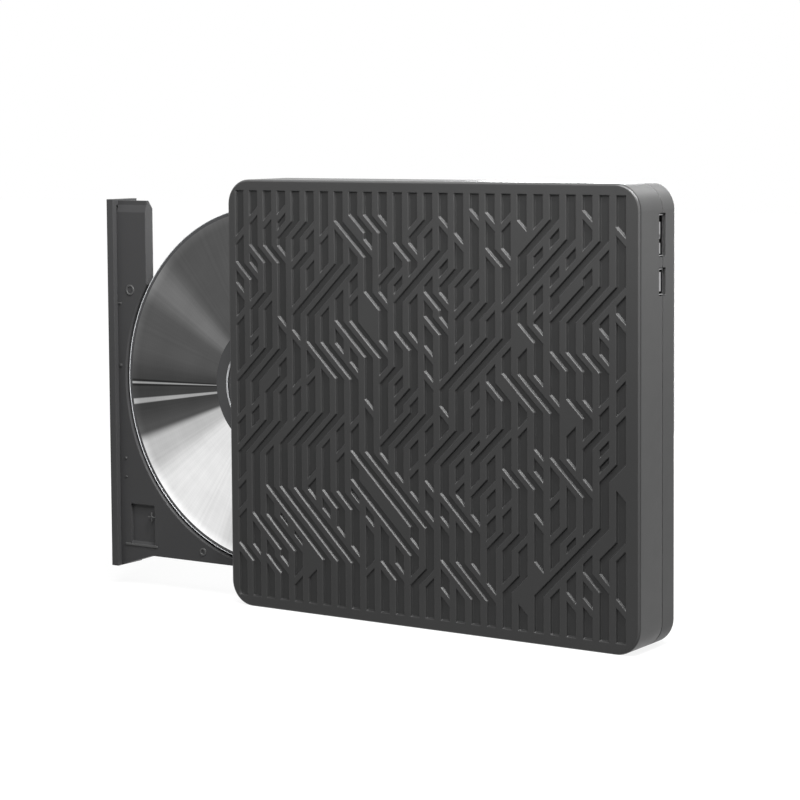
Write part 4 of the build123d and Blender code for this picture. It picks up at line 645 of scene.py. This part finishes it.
# %% Paint the CAD nodes
PORT_MOUTH_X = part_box("usb_port_shell")[1][0]
BOARD_GREEN = (0.012, 0.075, 0.035, 1)
FILM_AMBER = (0.42, 0.22, 0.06, 1)
COPPER = (0.55, 0.20, 0.08, 1)
FINISHES = {
    # In the relief, the floors grey is painted shade in the grooves and the edge colour a painted
    # highlight; every plastic's edges and fillet get such a painted highlight.
    "relief_plastic": moulded_plastic(
        "relief_plastic", grey(0.0245), 0.36, edge=0.6, width=0.0004, gloss=0.26,
        highlight_colour=grey(0.06), floors=grey(0.013), sides=grey(0.046), fillet=0.8,
    ),
    "case_plastic": moulded_plastic(
        "case_plastic", grey(0.058), 0.38, edge=0.22, sides=grey(0.058), fillet=0.3,
    ),
    "foot_rubber": moulded_plastic("foot_rubber", grey(0.018), 0.85, 3000.0, 0.00004, gloss=0.25),
    "screw_steel": worked_metal("screw_steel", grey(0.35, 0.02), 0.35),
    "foam": moulded_plastic("foam", grey(0.03), 0.95, 2200.0, 0.0003, 0.9, edge=0.0, gloss=0.1),
    "board_green": moulded_plastic("board_green", BOARD_GREEN, 0.28, 1800.0, edge=0.3),
    "chip_black": moulded_plastic("chip_black", grey(0.015), 0.6, 6000.0),
    "port_steel": worked_metal("port_steel", grey(0.38, 0.01), 0.38, mouth=PORT_MOUTH_X),
    # Painted shade: the port's plastic is darker than the other black plastics, for the shade deep in the
    # port.
    "port_plastic": moulded_plastic("port_plastic", grey(0.005), 0.5, edge=0.1, gloss=0.05),
    "sheet_steel": worked_metal("sheet_steel", grey(0.50, 0.01), 0.32),
    "cable_film": moulded_plastic("cable_film", FILM_AMBER, 0.25, 900.0, edge=0.2),
    "rail_steel": worked_metal("rail_steel", grey(0.55, 0.01), 0.25),
    "guide_plastic": moulded_plastic("guide_plastic", grey(0.015), 0.4),
    "tray_plastic": moulded_plastic("tray_plastic", grey(0.042, 0.02), 0.45, edge=0.2),
    "bezel_plastic": moulded_plastic("bezel_plastic", grey(0.045, 0.02), 0.36, 7000.0, 0.00001, edge=0.15),
    "clear_window": clear_plastic("clear_window", (0.85, 0.92, 0.88, 1.0), 0.12),
    "damper_rubber": moulded_plastic("damper_rubber", grey(0.012), 0.8, gloss=0.25),
    "chassis_plastic": moulded_plastic("chassis_plastic", grey(0.02), 0.55),
    "motor_steel": worked_metal("motor_steel", grey(0.45, 0.01), 0.3, (500.0, 40.0, 500.0)),
    "coil_copper": worked_metal("coil_copper", COPPER, 0.3, (60.0, 4000.0, 4000.0)),
    "hub_plastic": moulded_plastic("hub_plastic", grey(0.02), 0.35),
    "pad_rubber": moulded_plastic("pad_rubber", grey(0.02), 0.8, gloss=0.25),
    # disc_clear is painted dark as shade seen through the disc, and disc_bead pale as a painted highlight.
    "disc_clear": clear_plastic("disc_clear", (0.035, 0.036, 0.038, 1.0), 0.05, 0.12),
    "disc_bead": clear_plastic("disc_bead", (0.75, 0.76, 0.78, 1.0), 0.15, 0.2),
    "disc_bright": disc_layer("disc_bright"),
    "sled_plastic": moulded_plastic("sled_plastic", grey(0.02), 0.5),
    "lens_glass": clear_plastic("lens_glass", (0.55, 0.65, 0.9, 1.0)),
    "shaft_steel": worked_metal("shaft_steel", grey(0.7, 0.01), 0.15),
}
slot_of = {row["node"]: row["material_slot"] for row in frame["record"]["subparts"]}


def paint(piece, finish):
    """Gives an object one material."""
    piece.data.materials.clear()
    piece.data.materials.append(finish)


for name, node in nodes.items():
    paint(node, FINISHES[slot_of[name]])
print("painted", len(nodes), "nodes with", len(FINISHES), "finishes")

# %% [markdown]
# Some small parts are a round rod bent to a circle: the beads of a pressed disc and the rings that
# give a rubber foot its grip. A torus would do for one, but a small tree of Geometry Nodes that
# sweeps a round section along a circle makes all of them, each with its own radii.

# %% Tree: a swept bead
CIRCLE_STEPS = 240
SECTION_STEPS = 10


def make_bead_tree():
    """A tree that sweeps a round section along a circle that stands across Y."""
    tree = bpy.data.node_groups.new("swept_bead", "GeometryNodeTree")
    tree.interface.new_socket("Geometry", in_out="INPUT", socket_type="NodeSocketGeometry")
    for title in ("Radius", "Thickness"):
        tree.interface.new_socket(title, in_out="INPUT", socket_type="NodeSocketFloat")
    tree.interface.new_socket("Centre", in_out="INPUT", socket_type="NodeSocketVector")
    tree.interface.new_socket("Finish", in_out="INPUT", socket_type="NodeSocketMaterial")
    tree.interface.new_socket("Geometry", in_out="OUTPUT", socket_type="NodeSocketGeometry")
    given = tree.nodes.new("NodeGroupInput").outputs
    end = tree.nodes.new("NodeGroupOutput")
    curve = "GeometryNodeCurvePrimitiveCircle"
    circle = add(tree, curve, {"Resolution": CIRCLE_STEPS, "Radius": given["Radius"]})
    section = add(tree, curve, {"Resolution": SECTION_STEPS, "Radius": given["Thickness"]})
    swept = add(
        tree,
        "GeometryNodeCurveToMesh",
        {"Curve": circle.outputs["Curve"], "Profile Curve": section.outputs["Curve"]},
    )
    stood = add(
        tree,
        "GeometryNodeTransform",
        {"Geometry": swept.outputs[0], "Translation": given["Centre"], "Rotation": (math.pi / 2, 0.0, 0.0)},
    )
    real = add(tree, "GeometryNodeRealizeInstances", {"Geometry": stood.outputs[0]})
    finished = add(
        tree, "GeometryNodeSetMaterial", {"Geometry": real.outputs[0], "Material": given["Finish"]}
    )
    tree.links.new(finished.outputs[0], end.inputs[0])
    return tree


def grow(name, tree, values):
    """Runs a tree with these named inputs and returns the result as a plain mesh object."""
    seed = bpy.data.objects.new(name + "_seed", bpy.data.meshes.new(name + "_seed"))
    bpy.context.scene.collection.objects.link(seed)
    modifier = seed.modifiers.new("grow", "NODES")
    modifier.node_group = tree
    sockets = {item.name: item.identifier for item in tree.interface.items_tree if item.in_out == "INPUT"}
    for title, value in values.items():
        modifier[sockets[title]] = value
    evaluated = seed.evaluated_get(bpy.context.evaluated_depsgraph_get())
    mesh = bpy.data.meshes.new_from_object(evaluated)
    seed.modifiers.remove(modifier)
    bpy.data.objects.remove(seed)
    mesh.name = name
    piece = bpy.data.objects.new(name, mesh)
    bpy.context.scene.collection.objects.link(piece)
    return piece


BEAD_TREE = make_bead_tree()
print("tree:", BEAD_TREE.name)

# %% [markdown]
# A disc is pressed from clear plastic, and each of its edges ends in a fine bead that catches a line
# of light: one at the rim, and a thicker one that keeps stacked discs apart. Both turn with the disc,
# and their pale finish is a painted highlight for that line of light.

# %% Beads of the disc
DISC_FACE_Y = -0.0061
RIM_BEAD = 0.05985
STACK_BEAD = 0.0172
BEAD_THICKNESS = 0.00013
STACK_THICKNESS = 0.00040


def add_bead(name, radius, thickness, centre, finish, body):
    """Makes one bead and seats it on its body."""
    values = {"Radius": radius, "Thickness": thickness, "Centre": centre, "Finish": finish}
    bead = grow(name, BEAD_TREE, values)
    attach(bead, body)
    print(name, len(bead.data.polygons), "faces")


DISC_BEADS = (("rim_bead", RIM_BEAD, BEAD_THICKNESS), ("stack_bead", STACK_BEAD, STACK_THICKNESS))
for name, radius, thickness in DISC_BEADS:
    centre = (DISC_CENTRE.x, DISC_FACE_Y, DISC_CENTRE.z)
    add_bead(name, radius, thickness, centre, FINISHES["disc_bead"], "disc_rotor")

# %% [markdown]
# Each of the four rubber feet on the back has two raised rings, so that it grips a desk when the
# drive lies flat. The bead's tree makes them too, with the rubber's finish.

# %% Grips of the feet
FOOT_TOP_Y = 0.01185
FOOT_PLACES = ((-0.061, 0.0135), (0.061, 0.0135), (-0.061, 0.1285), (0.061, 0.1285))
GRIP_RADII = (0.0020, 0.0034)

for number, (x, z) in enumerate(FOOT_PLACES, 1):
    for ring, radius in enumerate(GRIP_RADII, 1):
        name = f"foot_grip_{number}_{ring}"
        centre = (x, FOOT_TOP_Y, z)
        add_bead(name, radius, BEAD_THICKNESS, centre, FINISHES["foot_rubber"], "case")

# %% [markdown]
# Two kinds of small shape are built face by face: a ring, turned from a little outline as on a
# lathe, and a bar, which is a box with every edge bevelled. Each shape goes into an open mesh, and
# one last step turns that mesh into a piece with its finish and its body.

# %% Helpers for small shapes
TURN_STEPS = 32
CREST_SHARE = 0.3
SHOULDER_SHARE = 0.4
BAR_BEVEL = 0.00008


def turn_ring(mesh, x, z, outer, inner, base, top):
    """Adds a ring with a rounded crest that stands on a plane across Y."""
    crest = (outer - inner) * CREST_SHARE
    shoulder = top * SHOULDER_SHARE + base * (1.0 - SHOULDER_SHARE)
    outline = [
        (inner, base), (inner, shoulder), (inner + crest, top),
        (outer - crest, top), (outer, shoulder), (outer, base),
    ]
    rows = []
    for step in range(TURN_STEPS):
        angle = 2 * math.pi * step / TURN_STEPS
        row = [mesh.verts.new((x + r * math.cos(angle), y, z + r * math.sin(angle))) for r, y in outline]
        rows.append(row)
    for step in range(TURN_STEPS):
        here, there = rows[step], rows[(step + 1) % TURN_STEPS]
        for side in range(len(outline)):
            after = (side + 1) % len(outline)
            mesh.faces.new((here[side], there[side], there[after], here[after]))


def add_bar(mesh, low, high):
    """Adds a box between two corners with its edges bevelled."""
    corners = bmesh.ops.create_cube(mesh, size=1.0)["verts"]
    for corner in corners:
        for axis in range(3):
            middle = (low[axis] + high[axis]) / 2
            corner.co[axis] = middle + corner.co[axis] * (high[axis] - low[axis])
    edges = list({edge for corner in corners for edge in corner.link_edges})
    bmesh.ops.bevel(mesh, geom=edges, offset=BAR_BEVEL, segments=2, affect="EDGES", profile=0.5)


def finish_mesh(name, mesh, finish, slot, body):
    """Turns built faces into a piece with a finish and a body; the slot is not used."""
    bmesh.ops.recalc_face_normals(mesh, faces=mesh.faces[:])
    data = bpy.data.meshes.new(name)
    mesh.to_mesh(data)
    mesh.free()
    piece = bpy.data.objects.new(name, data)
    bpy.context.scene.collection.objects.link(piece)
    paint(piece, finish)
    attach(piece, body)
    print(name, len(data.polygons), "faces")


print("helpers for small shapes:", turn_ring.__name__, add_bar.__name__, finish_mesh.__name__)

# %% [markdown]
# The tray carries the marks of its mould and of its fixings: a screw well with a raised ring, small
# catches at the bezel, a cross where a core pin met the mould and a round stop near the lower edge.
# A bump in the material would vanish at the tray's outline, so they are real. They all stand on
# the deck, a quarter of a millimetre proud.

# %% Marks on the tray
DECK_Y = -0.0069
MARK_HEIGHT = 0.00025
MARK_ROOT = 0.0001
RINGS = ((-0.1235, 0.1034, 0.0019, 0.0011), (-0.0929, 0.0152, 0.0014, 0.0007))
BARS = (
    (-0.1282, 0.0987, 0.0009, 0.0003), (-0.1280, 0.0772, 0.0006, 0.0005),
    (-0.1152, 0.0252, 0.0016, 0.0002), (-0.1152, 0.0252, 0.0002, 0.0016),
    (-0.1199, 0.0150, 0.0072, 0.0004), (-0.1262, 0.0450, 0.0004, 0.0004),
    (-0.1262, 0.0385, 0.0004, 0.0003),
)

marks = bmesh.new()
for x, z, outer, inner in RINGS:
    turn_ring(marks, x, z, outer, inner, DECK_Y, DECK_Y - MARK_HEIGHT)
for x, z, half_x, half_z in BARS:
    low = (x - half_x, DECK_Y - MARK_HEIGHT, z - half_z)
    high = (x + half_x, DECK_Y + MARK_ROOT, z + half_z)
    add_bar(marks, low, high)
# Painted highlight: the marks get a lighter, glossier copy of the tray's plastic.
mark_finish = moulded_plastic("mark_plastic", grey(0.055), 0.3, edge=0.5, gloss=0.3)
finish_mesh("tray_marks", marks, mark_finish, "tray_plastic", "drive_tray")

# %% [markdown]
# Each port's steel shell is folded over at its mouth, and the fold on the side towards the face shows
# as a light strip in the opening. The long port's strip is narrow and parted by a notch, which keeps
# a wrong plug out. Each port has the share of its width that the fold takes, and the strip's spans as
# shares of the opening's height, counted from its lower end.

# %% Folded lips of the ports
LIP_REACH = 0.00025
LIP_ROOT = 0.0002
LIP_INSET = 0.0001
LIPS = {
    "usb_port_shell": (0.3, ((0.06, 0.32), (0.52, 0.82))),
    "power_port_shell": (0.4, ((0.14, 0.88),)),
}

lips = bmesh.new()
for shell, (share, spans) in LIPS.items():
    low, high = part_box(shell)
    print(shell, "from", [round(v, 5) for v in low], "to", [round(v, 5) for v in high])
    lip_end = low[1] + (high[1] - low[1]) * share
    height = high[2] - low[2]
    for start, stop in spans:
        lower = (high[0] - LIP_ROOT, low[1] + LIP_INSET, low[2] + height * start)
        upper = (high[0] + LIP_REACH, lip_end, low[2] + height * stop)
        add_bar(lips, lower, upper)
finish_mesh("port_lips", lips, FINISHES["port_steel"], "port_steel", "case")

# %% [markdown]
# The stage is a pale floor under a white sky. Only camera, mirror and glass rays see the sky at
# full white, so the background stays white while the object is lit by the lamps. The floor adds a
# little of its own light for those rays and still takes the shadow.

# %% Floor and sky
FLOOR_SIZE = 6.0
FLOOR_ALBEDO = 0.15
FLOOR_GLOW = 0.88
FLOOR_GLOW_NEAR = 0.25
FLOOR_GLOW_FAR = 0.7
SKY_FOR_OBJECT = 0.09


def seen_directly(tree):
    """One where a camera, mirror or glass ray looks, and nothing elsewhere."""
    path = tree.nodes.new("ShaderNodeLightPath").outputs
    mirrored = calc(tree, "MAXIMUM", path["Is Camera Ray"], path["Is Glossy Ray"])
    return calc(tree, "MAXIMUM", mirrored, path["Is Transmission Ray"])


def make_floor():
    """The floor that the drive stands on."""
    material, tree, shader = start_material("floor_white")
    shader.inputs["Base Color"].default_value = grey(FLOOR_ALBEDO)
    shader.inputs["Roughness"].default_value = 1.0
    shader.inputs["Specular IOR Level"].default_value = 0.0
    shader.inputs["Emission Color"].default_value = grey(1.0)
    away = add(tree, "ShaderNodeVectorMath", {0: object_place(tree)}, operation="LENGTH").outputs["Value"]
    glow = remap(tree, away, FLOOR_GLOW_NEAR, FLOOR_GLOW_FAR, FLOOR_GLOW, 1.0)
    tree.links.new(product(tree, seen_directly(tree), glow), shader.inputs["Emission Strength"])
    mesh = bpy.data.meshes.new("floor")
    half = FLOOR_SIZE / 2
    corners = [(-half, -half, 0), (half, -half, 0), (half, half, 0), (-half, half, 0)]
    mesh.from_pydata(corners, [], [(0, 1, 2, 3)])
    mesh.materials.append(material)
    floor = bpy.data.objects.new("floor", mesh)
    bpy.context.scene.collection.objects.link(floor)


def make_sky():
    """White for the rays that see it, dimmer for the light it gives."""
    world = bpy.data.worlds.new("sky")
    bpy.context.scene.world = world
    world.use_nodes = True
    tree = world.node_tree
    background = tree.nodes["Background"]
    background.inputs["Color"].default_value = grey(1.0)
    strength = remap(tree, seen_directly(tree), 0.0, 1.0, SKY_FOR_OBJECT, 1.0)
    tree.links.new(strength, background.inputs["Strength"])


make_floor()
make_sky()
print("floor of", FLOOR_SIZE, "metres under a sky at", SKY_FOR_OBJECT)

# %% [markdown]
# Five soft lamps light the drive, as in a small product studio. The key and the front lamp aim above
# the drive, so that its face brightens towards the top. The small glint lamp stands where the
# grooves' slanting edges mirror it to the camera, and the two behind light the top and the edges
# that face backwards. The view is Standard, because a photograph of this kind has plain tones.

# %% Lamps
AIM = (0.0, 0.0, 0.07)
HIGH_AIM = (0.0, 0.0, 0.29)
LAMPS = (
    ("key_lamp", (0.20, -0.06, 0.30), HIGH_AIM, 0.12, 1.3),
    ("front_lamp", (0.05, -0.20, 0.34), HIGH_AIM, 0.20, 1.85),
    ("glint_lamp", (0.252, -0.150, 0.600), AIM, 0.06, 3.3),
    ("rim_lamp", (0.12, 0.55, 0.52), AIM, 0.30, 0.5),
    ("back_lamp", (-0.12, 0.45, 0.13), AIM, 0.24, 3.0),
)


def add_lamp(name, place, aim, size, power):
    """A square soft lamp that points from its place at its aim."""
    data = bpy.data.lights.new(name, "AREA")
    data.shape = "SQUARE"
    data.size = size
    data.energy = power
    lamp = bpy.data.objects.new(name, data)
    direction = Vector(aim) - Vector(place)
    lamp.matrix_world = Matrix.Translation(place) @ direction.to_track_quat("-Z", "Y").to_matrix().to_4x4()
    bpy.context.scene.collection.objects.link(lamp)


for name, place, aim, size, power in LAMPS:
    add_lamp(name, place, aim, size, power)
bpy.context.scene.view_settings.view_transform = "Standard"
print("lamps:", len(LAMPS))

# %% [markdown]
# The last cell marks the end of the script.

# %% Finish
print("finished")
